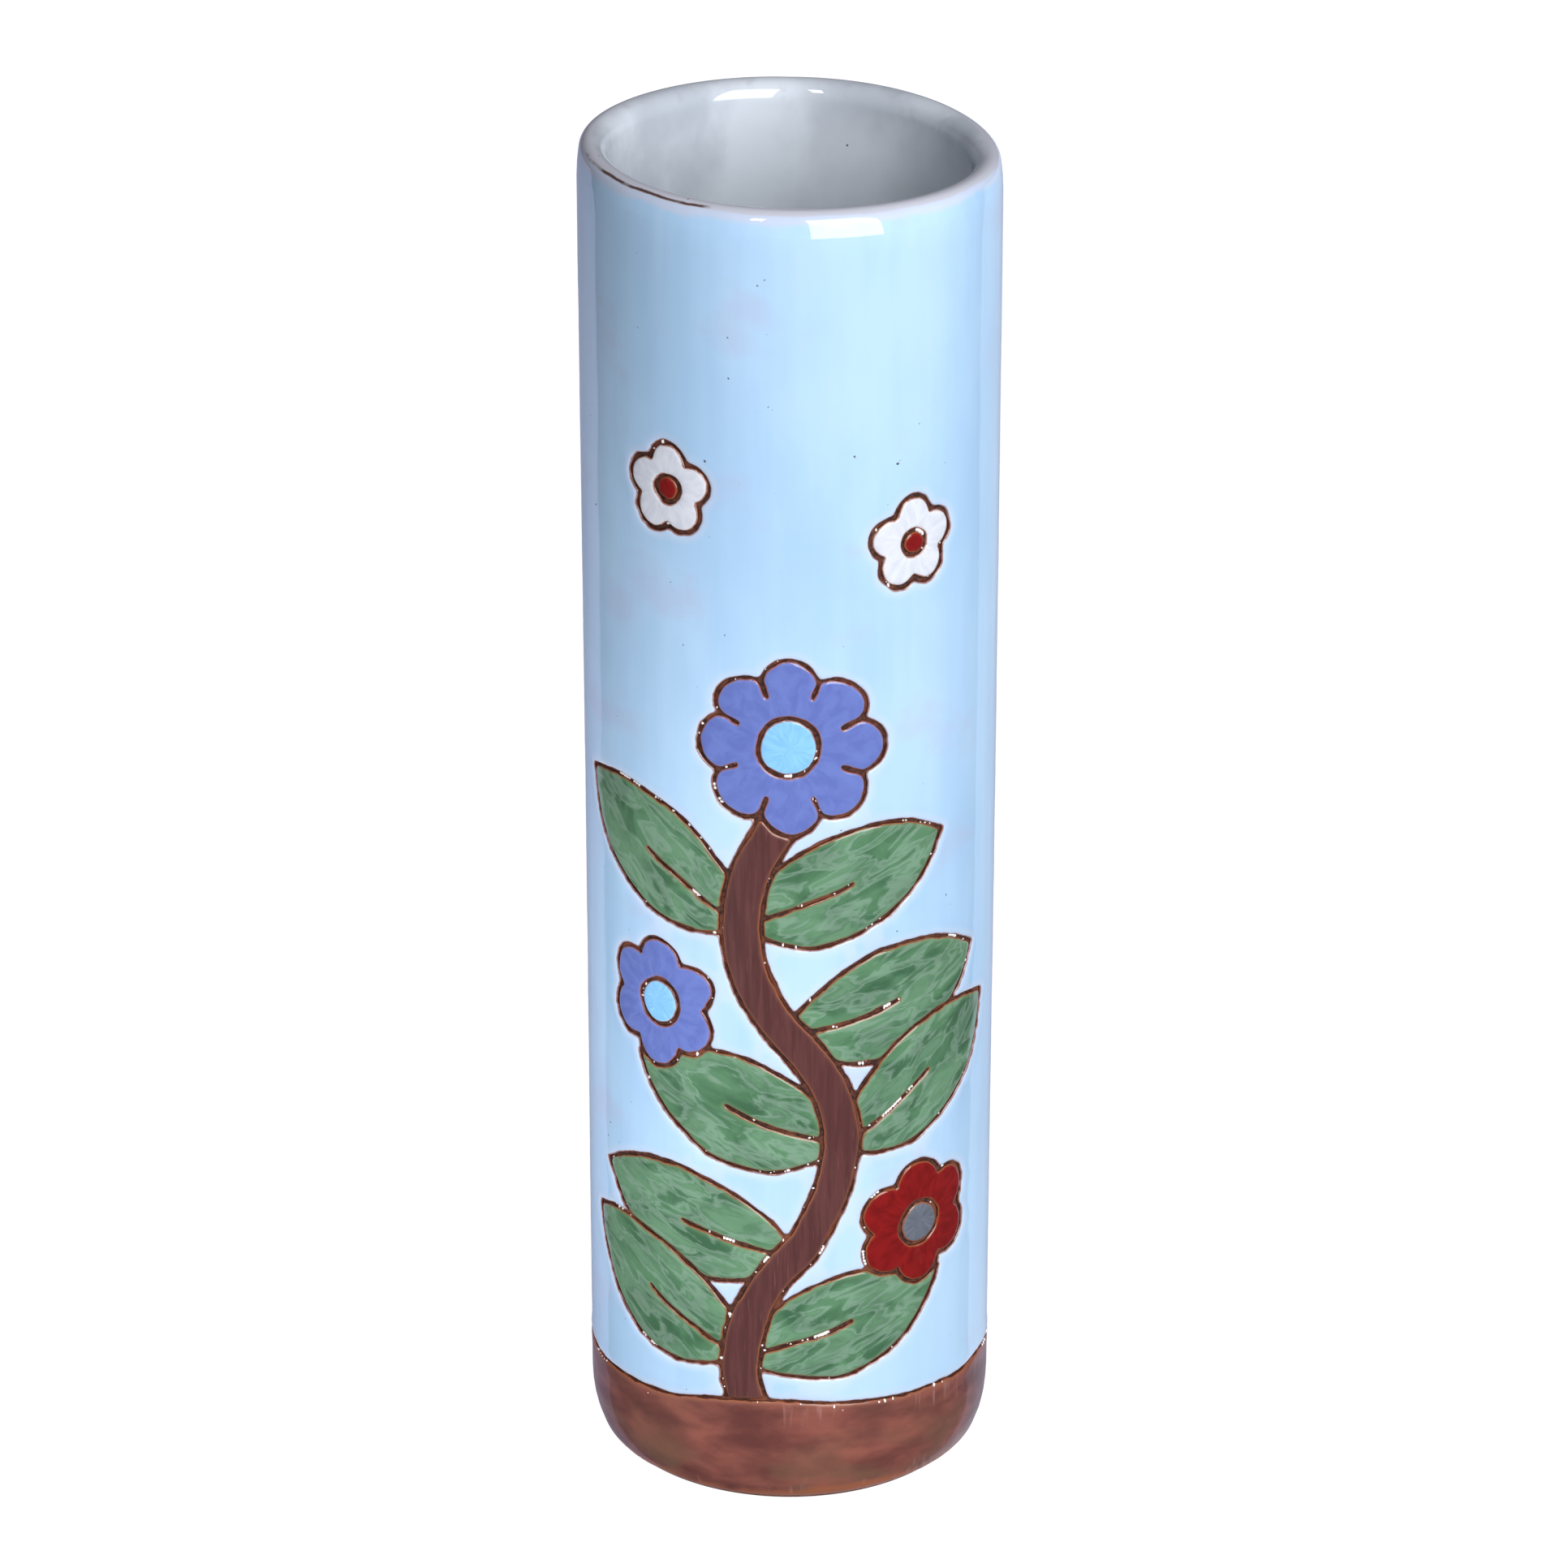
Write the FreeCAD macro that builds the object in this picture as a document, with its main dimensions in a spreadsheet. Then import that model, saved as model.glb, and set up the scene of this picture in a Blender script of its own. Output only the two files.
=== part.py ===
"""Tall cylinder vase of red earthenware, slab built, with scratched and flooded colour glazes.

The clay is three pieces joined when soft: a rolled wall, the disc it stands on and a coil pressed into
the corner between them.  The glaze is a coat of even thickness on that clay.  A line scratched through
the coat parts it into fields, so each field is a curved tile seated on the wall.

Frame: +Z up, origin at the centre of the foot, the decorated side faces -Y.  Millimetres and degrees.
"""

import FreeCAD, Part
import Sketcher

import os

from FreeCAD import Vector

doc = FreeCAD.newDocument("vase")

# ---------------------------------------------------------------- driving sizes

SIZES = {
    # the slab-built form
    "height": 250.0,  # foot to the middle of the mouth, over the glaze
    "outer_diameter": 74.5,  # over the glaze
    "wall": 4.0,  # rolled clay
    "base_thickness": 6.0,
    "glaze": 0.5,  # every coat
    "foot_curve": 10.4,  # height over which the wall draws in to the foot
    "foot_inset": 3.3,  # how far it draws in
    "foot_bevel": 0.7,  # scraped off the lower edge
    "mouth_slope": 2.0,  # the mouth is cut slightly out of level
    "lip_bevel": 1.0,  # scraped off both edges of the clay lip
    "lip_round": 2.1,  # the glaze that runs over them
    "lip_overrun": 0.06,  # how far the rounding passes the wall's faces
    "coil": 5.0,  # coil smoothed to a bevel in the inner corner
    # where the coats stop
    "lip_band": 4.0,
    "ground_top": 19.5,
    "bare_foot": 1.5,
    "scratch": 0.9,  # width of a scratched line
    # the climbing stem, a chain of equal bends
    "stem_root": 8.0,
    "stem_bends": 3.0,
    "stem_rise": 44.0,
    "stem_sway": 9.0,
    "stem_width": 6.0,
    # the leaves that spring from it
    "leaf_length": 40.0,
    "leaf_width": 20.0,
    "leaf_lean": 60.0,
    "leaf_droop": 70.0,
    "leaf_joint_lean": 76.0,
    "rib_share": 0.55,
    # the blooms
    "top_bloom": 16.0,
    "top_bloom_eye": 5.0,
    "top_bloom_rise": 12.0,
    "top_bloom_line": 3.0,  # scratched in from each notch between its petals
    "side_bloom": 12.0,
    "side_bloom_eye": 3.8,
    "side_bloom_reach": 25.5,
    "side_bloom_rise": 3.0,
    "top_bloom_petals": 8.0,
    "side_bloom_petals": 6.0,
    "petal_overlap": 1.2,  # petal radius as a share of half the way to the next petal
    # small white blossoms in the sky
    "blossom": 8.0,
    "blossom_eye": 1.9,
    "blossom_petals": 5.0,
    "blossom_reach": 23.0,
    "blossom_height": 193.0,
    "blossom_step": 5.0,
}

sheet = doc.addObject("Spreadsheet::Sheet", "sizes")
for row, (alias, size) in enumerate(SIZES.items(), start=1):
    sheet.set(f"A{row}", alias.replace("_", " "))
    sheet.set(f"B{row}", str(size))
    sheet.setAlias(f"B{row}", alias)
doc.recompute()

# Sizes that follow from those above, as expressions on the sheet.
OUTER = "(sizes.outer_diameter / 2)"
CLAY_OUT = f"({OUTER} - sizes.glaze)"
CLAY_IN = f"({CLAY_OUT} - sizes.wall)"
BORE = f"({CLAY_IN} - sizes.glaze)"
FOOT_BEND = "((sizes.foot_curve ^ 2 + sizes.foot_inset ^ 2) / (2 * sizes.foot_inset))"
CLAY_RIM = "(sizes.height - sizes.glaze / cos(sizes.mouth_slope))"
LIP_FOOT = "(sizes.height - sizes.lip_band)"
SKY_FOOT = "(sizes.ground_top + sizes.scratch)"
ABOVE_MOUTH = f"(sizes.height + {OUTER})"
STEM_BEND = "((sizes.stem_rise ^ 2 / 4 + sizes.stem_sway ^ 2) / (2 * sizes.stem_sway))"
STEM_TURN = f"(2 * asin(sizes.stem_rise / 2 / {STEM_BEND}))"


def value(expression):
    """The number that an expression on the sheet has now."""
    return float(sheet.evalExpression(expression))


def bind(thing, **expressions):
    """Binds properties to expressions; a double underscore stands for a dot."""
    for name, expression in expressions.items():
        thing.setExpression(name.replace("__", "."), expression)


# ---------------------------------------------------------------- sketch helpers


def new_body(name):
    return doc.addObject("PartDesign::Body", name)


def front_sketch(body, name):
    """A sketch on the body's own XZ plane, whose Y is the vase's height."""
    sketch = body.newObject("Sketcher::SketchObject", name)
    plane = next(f for f in body.Origin.OriginFeatures if f.Role == "XZ_Plane")
    sketch.AttachmentSupport = [(plane, "")]
    sketch.MapMode = "FlatFace"
    doc.recompute()
    return sketch


def constrain(sketch, kind, *elements, size=None):
    """Adds a constraint and, where it has a size, binds it to that expression."""
    if size is None:
        sketch.addConstraint(Sketcher.Constraint(kind, *elements))
        return
    index = sketch.addConstraint(Sketcher.Constraint(kind, *elements, value(size)))
    sketch.setExpression(f"Constraints[{index}]", size)


def pin(sketch, edge, end, x, y):
    """Holds one end of an edge at (x, y), two expressions measured from the sketch's origin."""
    origin, x_axis, y_axis = -1, -1, -2
    for kind, where, axis in (("DistanceX", x, y_axis), ("DistanceY", y, x_axis)):
        if where == "0":
            constrain(sketch, "PointOnObject", edge, end, axis)
        elif value(where) < 0:
            constrain(sketch, kind, edge, end, origin, 1, size=f"-({where})")
        else:
            constrain(sketch, kind, origin, 1, edge, end, size=where)


def closed_profile(sketch, corners):
    """Draws a closed outline through corners of (x, y, bend), all of them expressions.

    bend is None for a straight side to the next corner, or (radius, centre x, centre y) for an arc.
    """
    points = [Vector(value(x), value(y), 0) for x, y, _ in corners]
    for i, (_, _, bend) in enumerate(corners):
        start, end = points[i], points[(i + 1) % len(points)]
        if bend is None:
            sketch.addGeometry(Part.LineSegment(start, end), False)
            continue
        centre = Vector(value(bend[1]), value(bend[2]), 0)
        middle = ((start + end) / 2 - centre).normalize() * value(bend[0]) + centre
        sketch.addGeometry(Part.Arc(start, middle, end), False)
    ends = []
    for i, (_, _, bend) in enumerate(corners):
        start = points[i]
        first_is_start = (sketch.getPoint(i, 1) - start).Length < (sketch.getPoint(i, 2) - start).Length
        ends.append((1, 2) if first_is_start else (2, 1))
    for i, (x, y, bend) in enumerate(corners):
        following = (i + 1) % len(corners)
        constrain(sketch, "Coincident", i, ends[i][1], following, ends[following][0])
        pin(sketch, i, ends[i][0], x, y)
        if bend is not None:
            constrain(sketch, "Radius", i, size=bend[0])


def revolve(body, name, corners):
    """Turns a closed profile round the vase's axis."""
    sketch = front_sketch(body, f"{name}_profile")
    closed_profile(sketch, corners)
    turned = body.newObject("PartDesign::Revolution", name)
    turned.Profile = sketch
    turned.ReferenceAxis = (sketch, ["V_Axis"])
    turned.Angle = 360
    doc.recompute()
    return turned


def sloping(out, up, height, centred="0"):
    """Sketch (x, y) of a point so far out along, and up from, the sloping plane at this height.

    Distances out are counted from a sloping axis, which crosses the vase's axis so far up from the plane.
    """
    across, rise = "cos(sizes.mouth_slope)", "sin(sizes.mouth_slope)"
    x = f"({out}) * {across} + ({up} - {centred}) * {rise}"
    return x, f"{height} - ({out}) * {rise} + ({up}) * {across}"


def cut_mouth(body, name, height):
    """Cuts the body off above the sloping plane that crosses the axis at this height."""
    sketch = front_sketch(body, f"{name}_line")
    side = "sizes.outer_diameter"
    corners = [(f"-{side}", "0"), (side, "0"), (side, side), (f"-{side}", side)]
    closed_profile(sketch, [(*sloping(out, up, height), None) for out, up in corners])
    return cut_out(body, name, sketch)


def turn_mouth(body, name, inside, outside, setback, height, rounded):
    """Cuts the mouth with one pass of a sloping tool that bevels or rounds both of the lip's edges.

    The tool turns about the mouth's own axis, so its rounds are true rings. It runs a little past the
    upright wall's faces, which stand at a slope to them.
    """
    sketch = front_sketch(body, f"{name}_tool")
    far, below = "sizes.outer_diameter", f"-({setback})"
    inner, outer = f"({inside} - sizes.lip_overrun)", f"({outside} + sizes.lip_overrun)"
    inner_top, outer_top = f"{inner} + {setback}", f"{outer} - ({setback})"
    inner_bend = (setback, *sloping(inner_top, below, height, below)) if rounded else None
    outer_bend = (setback, *sloping(outer_top, below, height, below)) if rounded else None
    corners = [
        ("0", below, None),
        (inner, below, inner_bend),
        (inner_top, "0", None),
        (outer_top, "0", outer_bend),
        (outer, below, None),
        (far, below, None),
        (far, far, None),
        ("0", far, None),
    ]
    closed_profile(sketch, [(*sloping(out, up, height, below), bend) for out, up, bend in corners])
    cut = body.newObject("PartDesign::Groove", name)
    cut.Profile = sketch
    cut.ReferenceAxis = (sketch, [f"Edge{len(corners)}"])
    cut.Angle = 360
    doc.recompute()
    return cut


# ---------------------------------------------------------------- the clay


def foot_arc(outset="0"):
    """The arc that draws the wall in to the foot, as (radius, centre x, centre y)."""
    return (f"({FOOT_BEND} + {outset})", f"({CLAY_OUT} - {FOOT_BEND})", "sizes.foot_curve")


def foot_radius(height, outset="0"):
    """How far from the axis that arc is at a height."""
    out = f"sqrt(({FOOT_BEND} + {outset}) ^ 2 - (sizes.foot_curve - {height}) ^ 2)"
    return f"({CLAY_OUT} - {FOOT_BEND} + {out})"


def make_clay_wall():
    body = new_body("clay_wall")
    revolve(
        body,
        "rolled_wall",
        [
            (CLAY_IN, "sizes.base_thickness", None),
            (foot_radius("sizes.base_thickness"), "sizes.base_thickness", foot_arc()),
            (CLAY_OUT, "sizes.foot_curve", None),
            (CLAY_OUT, ABOVE_MOUTH, None),
            (CLAY_IN, ABOVE_MOUTH, None),
        ],
    )
    turn_mouth(body, "lip", CLAY_IN, CLAY_OUT, "sizes.lip_bevel", CLAY_RIM, rounded=False)
    return body


def make_clay_base():
    """The disc the wall stands on, with the lower edge of its drawn-in side scraped off."""
    body = new_body("clay_base")
    revolve(
        body,
        "base_disc",
        [
            ("0", "0", None),
            (f"({foot_radius('sizes.foot_bevel')} - sizes.foot_bevel)", "0", None),
            (foot_radius("sizes.foot_bevel"), "sizes.foot_bevel", foot_arc()),
            (foot_radius("sizes.base_thickness"), "sizes.base_thickness", None),
            ("0", "sizes.base_thickness", None),
        ],
    )
    return body


def make_seam_coil():
    """The coil in the inner corner, smoothed to a bevel."""
    body = new_body("seam_coil")
    revolve(
        body,
        "smoothed_coil",
        [
            (f"({CLAY_IN} - sizes.coil)", "sizes.base_thickness", None),
            (CLAY_IN, "sizes.base_thickness", None),
            (CLAY_IN, "(sizes.base_thickness + sizes.coil)", None),
        ],
    )
    return body


# ---------------------------------------------------------------- the plain coats


def make_lining_glaze():
    """The poured coat over the floor, the coil's bevel and the inner wall."""
    body = new_body("lining_glaze")
    floor = "(sizes.base_thickness + sizes.glaze)"
    mitre = "sizes.glaze * tan(22.5)"  # where coats that meet at half a right angle turn
    revolve(
        body,
        "poured_lining",
        [
            ("0", "sizes.base_thickness", None),
            (f"({CLAY_IN} - sizes.coil)", "sizes.base_thickness", None),
            (CLAY_IN, "(sizes.base_thickness + sizes.coil)", None),
            (CLAY_IN, ABOVE_MOUTH, None),
            (BORE, ABOVE_MOUTH, None),
            (BORE, f"(sizes.base_thickness + sizes.coil + {mitre})", None),
            (f"({CLAY_IN} - sizes.coil - {mitre})", floor, None),
            ("0", floor, None),
        ],
    )
    cut_mouth(body, "lining_end", LIP_FOOT)
    return body


def make_lip_glaze(clay_wall):
    body = new_body("lip_coat")
    revolve(
        body,
        "lip_ring",
        [
            (BORE, "sizes.height / 2", None),
            (OUTER, "sizes.height / 2", None),
            (OUTER, ABOVE_MOUTH, None),
            (BORE, ABOVE_MOUTH, None),
        ],
    )
    turn_mouth(body, "lip_top", BORE, OUTER, "sizes.lip_round", "sizes.height", rounded=True)
    below = new_body("below_lip")
    revolve(
        below,
        "core",
        [
            ("0", "0", None),
            ("sizes.outer_diameter", "0", None),
            ("sizes.outer_diameter", ABOVE_MOUTH, None),
            ("0", ABOVE_MOUTH, None),
        ],
    )
    cut_mouth(below, "core_end", LIP_FOOT)
    return cut("lip_glaze", body, [clay_wall, below])


def make_ground_glaze():
    body = new_body("ground_glaze")
    revolve(
        body,
        "ground_coat",
        [
            (foot_radius("sizes.bare_foot"), "sizes.bare_foot", None),
            (foot_radius("sizes.bare_foot", "sizes.glaze"), "sizes.bare_foot", foot_arc("sizes.glaze")),
            (OUTER, "sizes.foot_curve", None),
            (OUTER, "sizes.ground_top", None),
            (CLAY_OUT, "sizes.ground_top", None),
            (CLAY_OUT, "sizes.foot_curve", foot_arc()),
        ],
    )
    return body


def make_sky_coat():
    """The whole outer coat between the ground line and the lip, before it is scratched into fields."""
    body = new_body("sky_coat")
    revolve(
        body,
        "dipped_coat",
        [
            (CLAY_OUT, SKY_FOOT, None),
            (OUTER, SKY_FOOT, None),
            (OUTER, ABOVE_MOUTH, None),
            (CLAY_OUT, ABOVE_MOUTH, None),
        ],
    )
    cut_mouth(body, "sky_end", LIP_FOOT)
    return body


# ---------------------------------------------------------------- booleans and placing


def fuse(name, shapes):
    if len(shapes) == 1:
        return shapes[0]
    joined = doc.addObject("Part::MultiFuse", name)
    joined.Shapes = shapes
    return joined


def cut(name, base, tools):
    """base less all the tools, or base itself where there are none."""
    if not tools:
        return base
    result = doc.addObject("Part::Cut", name)
    result.Base = base
    result.Tool = fuse(f"{name}_tools", tools)
    return result


def face_out(thing, along, height, lean="0"):
    """Stands a front-facing shape at an arc length along the surface and a height, leaning clockwise."""
    azimuth = f"(({along}) / (pi * sizes.outer_diameter) * 360)"
    thing.setExpression("Placement", f"placement(vector(0; 0; {height}); rotation({azimuth}; {lean}; 0))")


def pad_out(body, name, sketch):
    """Pads a sketch from the vase's axis out through its front."""
    pad = body.newObject("PartDesign::Pad", name)
    pad.Profile = sketch
    bind(pad, Length="sizes.outer_diameter")
    doc.recompute()
    return pad


def cut_out(body, name, sketch):
    """Cuts a sketch right through the body."""
    pocket = body.newObject("PartDesign::Pocket", name)
    pocket.Profile = sketch
    pocket.Type = "ThroughAll"
    pocket.Midplane = True
    doc.recompute()
    return pocket


def round_bar(name, radius, along, height):
    """A bar that points out through the surface, square to it."""
    bar = doc.addObject("Part::Cylinder", name)
    bind(bar, Radius=radius, Height="sizes.outer_diameter")
    azimuth = f"(({along}) / (pi * sizes.outer_diameter) * 360)"
    bar.setExpression("Placement", f"placement(vector(0; 0; {height}); rotation({azimuth}; 0; 90))")
    return bar


# ---------------------------------------------------------------- the motifs
# Each motif is a pair of shapes: the outline of its field, and that outline grown by a scratched line.


def make_stem(name, grow):
    """Equal bends to the left and right in turn, each a sector of a ring whose ends meet the next."""
    bends = []
    for i in range(int(value("sizes.stem_bends"))):
        side = -1 if i % 2 == 0 else 1
        rings = []
        for part, offset in (("outside", "+"), ("inside", "-")):
            ring = doc.addObject("Part::Cylinder", f"{name}_bend_{i}_{part}")
            radius = f"{STEM_BEND} {offset} (sizes.stem_width / 2 + {grow})"
            bind(ring, Radius=radius, Height="sizes.outer_diameter", Angle=STEM_TURN)
            across = f"{-side} * ({STEM_BEND} - sizes.stem_sway)"
            height = f"sizes.stem_root + sizes.stem_rise * {i + 0.5}"
            middle = "180 deg" if side < 0 else "0 deg"
            start = f"({STEM_TURN} / 2 - {middle})"
            ring.setExpression(
                "Placement", f"placement(vector({across}; 0; {height}); rotation(0; {start}; 90))"
            )
            rings.append(ring)
        bends.append(cut(f"{name}_bend_{i}", rings[0], [rings[1]]))
    return fuse(name, bends)


def make_leaf(name, grow, rib):
    """Two equal arcs from base to tip, with the centre rib scratched out of the lower part."""
    body = new_body(name)
    sketch = front_sketch(body, f"{name}_outline")
    arc = "((sizes.leaf_length ^ 2 + sizes.leaf_width ^ 2) / (4 * sizes.leaf_width))"
    offset = f"({arc} - sizes.leaf_width / 2)"
    radius, middle = value(f"{arc} + {grow}"), value(offset)
    tip = (radius**2 - middle**2) ** 0.5
    for side in (1, -1):
        apex = Vector(side * (radius - middle), 0, 0)
        sketch.addGeometry(Part.Arc(Vector(0, -tip, 0), apex, Vector(0, tip, 0)), False)
    for edge, side in ((0, 1), (1, -1)):
        pin(sketch, edge, 3, f"{-side} * {offset}", "0")
        constrain(sketch, "Radius", edge, size=f"{arc} + {grow}")
        constrain(sketch, "PointOnObject", edge, 1, -2)
        constrain(sketch, "PointOnObject", edge, 2, -2)
    pad_out(body, f"{name}_pad", sketch)
    if rib:
        slot = front_sketch(body, f"{name}_rib_line")
        half, low = "sizes.scratch / 2", "-sizes.leaf_length"
        high = "sizes.leaf_length * (sizes.rib_share - 0.5)"
        corners = ((f"-{half}", low), (half, low), (half, high), (f"-{half}", high))
        closed_profile(slot, [(x, y, None) for x, y in corners])
        cut_out(body, f"{name}_rib", slot)
    return body


def petal_radius(bloom, petals):
    """A petal's radius: round petals in a ring that just fills the bloom and overlap their neighbours."""
    spread = f"(sizes.petal_overlap * sin(180 / {petals}))"
    return f"({bloom} * {spread} / (1 + {spread}))"


def disc_sketch(body, name, radius, height):
    """A circle on the body's upright axis."""
    sketch = front_sketch(body, name)
    sketch.addGeometry(Part.Circle(Vector(0, value(height), 0), Vector(0, 0, 1), value(radius)), False)
    pin(sketch, 0, 3, "0", height)
    constrain(sketch, "Radius", 0, size=radius)
    return sketch


def repeat_round(body, name, feature, times):
    """Repeats a pad or a pocket round the line that points out through the surface."""
    pattern = body.newObject("PartDesign::PolarPattern", name)
    pattern.Originals = [feature]
    axis = next(f for f in body.Origin.OriginFeatures if f.Role == "Y_Axis")
    pattern.Axis = (axis, [""])
    pattern.Angle = 360
    bind(pattern, Occurrences=times)
    body.Tip = pattern
    doc.recompute()


def make_flower(name, bloom, petals, grow):
    """A scalloped flower: round petals that overlap each other and a disc through their middles."""
    body = new_body(name)
    radius = petal_radius(bloom, petals)
    reach = f"({bloom} - {radius})"
    pad_out(body, f"{name}_middle", disc_sketch(body, f"{name}_middle_outline", reach, "0"))
    outline = disc_sketch(body, f"{name}_petal_outline", f"({radius} + {grow})", reach)
    repeat_round(body, f"{name}_petals", pad_out(body, f"{name}_petal", outline), petals)
    return body


def scratch_petal_lines(body, name, bloom, petals, length):
    """Scratches a short line in from every notch between two petals."""
    radius = petal_radius(bloom, petals)
    sin, cos = f"sin(180 / {petals})", f"cos(180 / {petals})"  # of half the way to the next petal
    reach = f"({bloom} - {radius})"
    notch = f"({reach} * {cos} + sqrt({radius} ^ 2 - ({reach} * {sin}) ^ 2))"
    half, low = "sizes.scratch / 2", f"({notch} - {length})"
    corners = ((f"-{half}", low), (half, low), (half, bloom), (f"-{half}", bloom))
    sketch = front_sketch(body, f"{name}_outline")
    turned = [(f"({x}) * {cos} + {y} * {sin}", f"{y} * {cos} - ({x}) * {sin}", None) for x, y in corners]
    closed_profile(sketch, turned)
    repeat_round(body, f"{name}s", cut_out(body, name, sketch), petals)


def make_field(name, coat, outline, in_front):
    """A motif's own tile: what its outline takes of the coat, less the motifs drawn in front of it."""
    tile = doc.addObject("Part::Common", name if not in_front else f"{name}_whole")
    tile.Base = coat
    tile.Tool = outline
    return cut(name, tile, in_front)


def make_bloom(name, coat, size, along, height, line=None):
    """A flower round an eye. Returns the two tiles and the scratched-out place of the bloom."""
    bloom, eye, petals = f"sizes.{size}", f"sizes.{size}_eye", f"sizes.{size}_petals"
    outline = make_flower(f"{name}_outline", bloom, petals, "0")
    eye_place = disc_sketch(outline, f"{name}_eye_edge", f"({eye} + sizes.scratch)", "0")
    cut_out(outline, f"{name}_eye_place", eye_place)
    if line:
        scratch_petal_lines(outline, f"{name}_line", bloom, petals, line)
    place = make_flower(f"{name}_place", bloom, petals, "sizes.scratch")
    for body in (outline, place):
        face_out(body, along, height)
    eye_outline = round_bar(f"{name}_eye_outline", eye, along, height)
    tiles = {
        f"{name}_petals_glaze": make_field(f"{name}_petals_glaze", coat, outline, []),
        f"{name}_eye_glaze": make_field(f"{name}_eye_glaze", coat, eye_outline, []),
    }
    return tiles, place


def stem_point(i, share):
    """(along, height) of the stem's centre line: share 0 is joint i, share 0.5 the top of its bend."""
    side = -1 if i % 2 == 0 else 1
    along = f"({side} * sizes.stem_sway)" if share else "0"
    return along, f"(sizes.stem_root + sizes.stem_rise * {i + share})"


def leaf_places():
    """(foot along, foot height, lean) of each leaf: a pair on each bend and one on each inner joint."""
    places = []
    for i in range(int(value("sizes.stem_bends"))):
        side = -1 if i % 2 == 0 else 1
        along, height = stem_point(i, 0.5)
        places.append((along, height, f"({side} * sizes.leaf_lean)"))
        places.append((along, height, f"({-side} * sizes.leaf_droop)"))
        if i:
            along, height = stem_point(i, 0)
            places.append((along, height, f"({-side} * sizes.leaf_joint_lean)"))
    return places


def make_leaf_pair(number, place):
    """A leaf's outline, with its rib, and its scratched-out place, both standing at the leaf's middle."""
    along, height, lean = place
    middle_along = f"({along} + sizes.leaf_length / 2 * sin({lean}))"
    middle_height = f"({height} + sizes.leaf_length / 2 * cos({lean}))"
    outline = make_leaf(f"leaf_{number}_outline", "0", True)
    grown = make_leaf(f"leaf_{number}_place", "sizes.scratch", False)
    for body in (outline, grown):
        face_out(body, middle_along, middle_height, lean)
    return outline, grown


# ---------------------------------------------------------------- the vase


def make_vase():
    clay_wall = make_clay_wall()
    nodes = {
        "clay_wall": clay_wall,
        "clay_base": make_clay_base(),
        "seam_coil": make_seam_coil(),
        "lining_glaze": make_lining_glaze(),
        "lip_glaze": make_lip_glaze(clay_wall),
        "ground_glaze": make_ground_glaze(),
    }
    coat = make_sky_coat()

    # Blooms lie in front of the stem, and the stem in front of the leaves.
    places = []
    last = int(value("sizes.stem_bends"))
    top_height = f"({stem_point(last, 0)[1]} + sizes.top_bloom_rise)"
    blooms = [("top_bloom", "top_bloom", "0", top_height, "sizes.top_bloom_line")]
    for name, joint, side in (("right_bloom", 1, 1), ("left_bloom", 2, -1)):
        height = f"({stem_point(joint, 0)[1]} + sizes.side_bloom_rise)"
        reach = f"({side} * sizes.side_bloom_reach)"
        blooms.append((name, "side_bloom", reach, height, None))
    for name, size, along, height, line in blooms:
        tiles, place = make_bloom(name, coat, size, along, height, line)
        nodes.update(tiles)
        places.append(place)

    nodes["stem_glaze"] = make_field("stem_glaze", coat, make_stem("stem_outline", "0"), list(places))
    places.append(make_stem("stem_place", "sizes.scratch"))

    for number, place in enumerate(leaf_places(), start=1):
        outline, grown = make_leaf_pair(number, place)
        nodes[f"leaf_{number}_glaze"] = make_field(f"leaf_{number}_glaze", coat, outline, list(places))
        places.append(grown)

    for name, side in (("left_blossom", -1), ("right_blossom", 1)):
        reach = f"({side} * sizes.blossom_reach)"
        height = f"(sizes.blossom_height - {side} * sizes.blossom_step)"
        tiles, place = make_bloom(name, coat, "blossom", reach, height)
        nodes.update(tiles)
        places.append(place)

    nodes["sky_glaze"] = cut("sky_glaze", coat, places)
    return nodes


nodes = make_vase()
doc.recompute()

faults = [o.Name for o in doc.Objects if {"Invalid", "Error"} & set(o.State)]
faults += [n for n, o in nodes.items() if o.Shape.isNull() or not o.Shape.isValid() or not o.Shape.Solids]
if faults:
    raise SystemExit(f"not built: {faults}")

os.makedirs("parts", exist_ok=True)
for name, thing in nodes.items():
    thing.Label = name
    thing.Shape.exportStep(f"parts/{name}.step")
    print(name, "solids", len(thing.Shape.Solids), "volume", round(thing.Shape.Volume, 1))
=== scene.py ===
# %% [markdown]
# # A tall vase with scratched and flooded glazes
#
# The real vase is red earthenware.  The potter rolls a slab, bends it into a tube, stands it on a disc and
# smooths the seams.  A drawing is scratched on the clay, and each field of the drawing is flooded with its
# own glaze up to the line.  In the kiln each pool of glaze melts to a smooth skin with a rounded rim, and
# the bare line between the pools burns dark.
#
# The CAD frame already holds every one of these pieces at its true size.  This lesson keeps those places
# and outlines, and gives each piece the small unevenness of hand work, a pooled edge and a fired surface.

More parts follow.
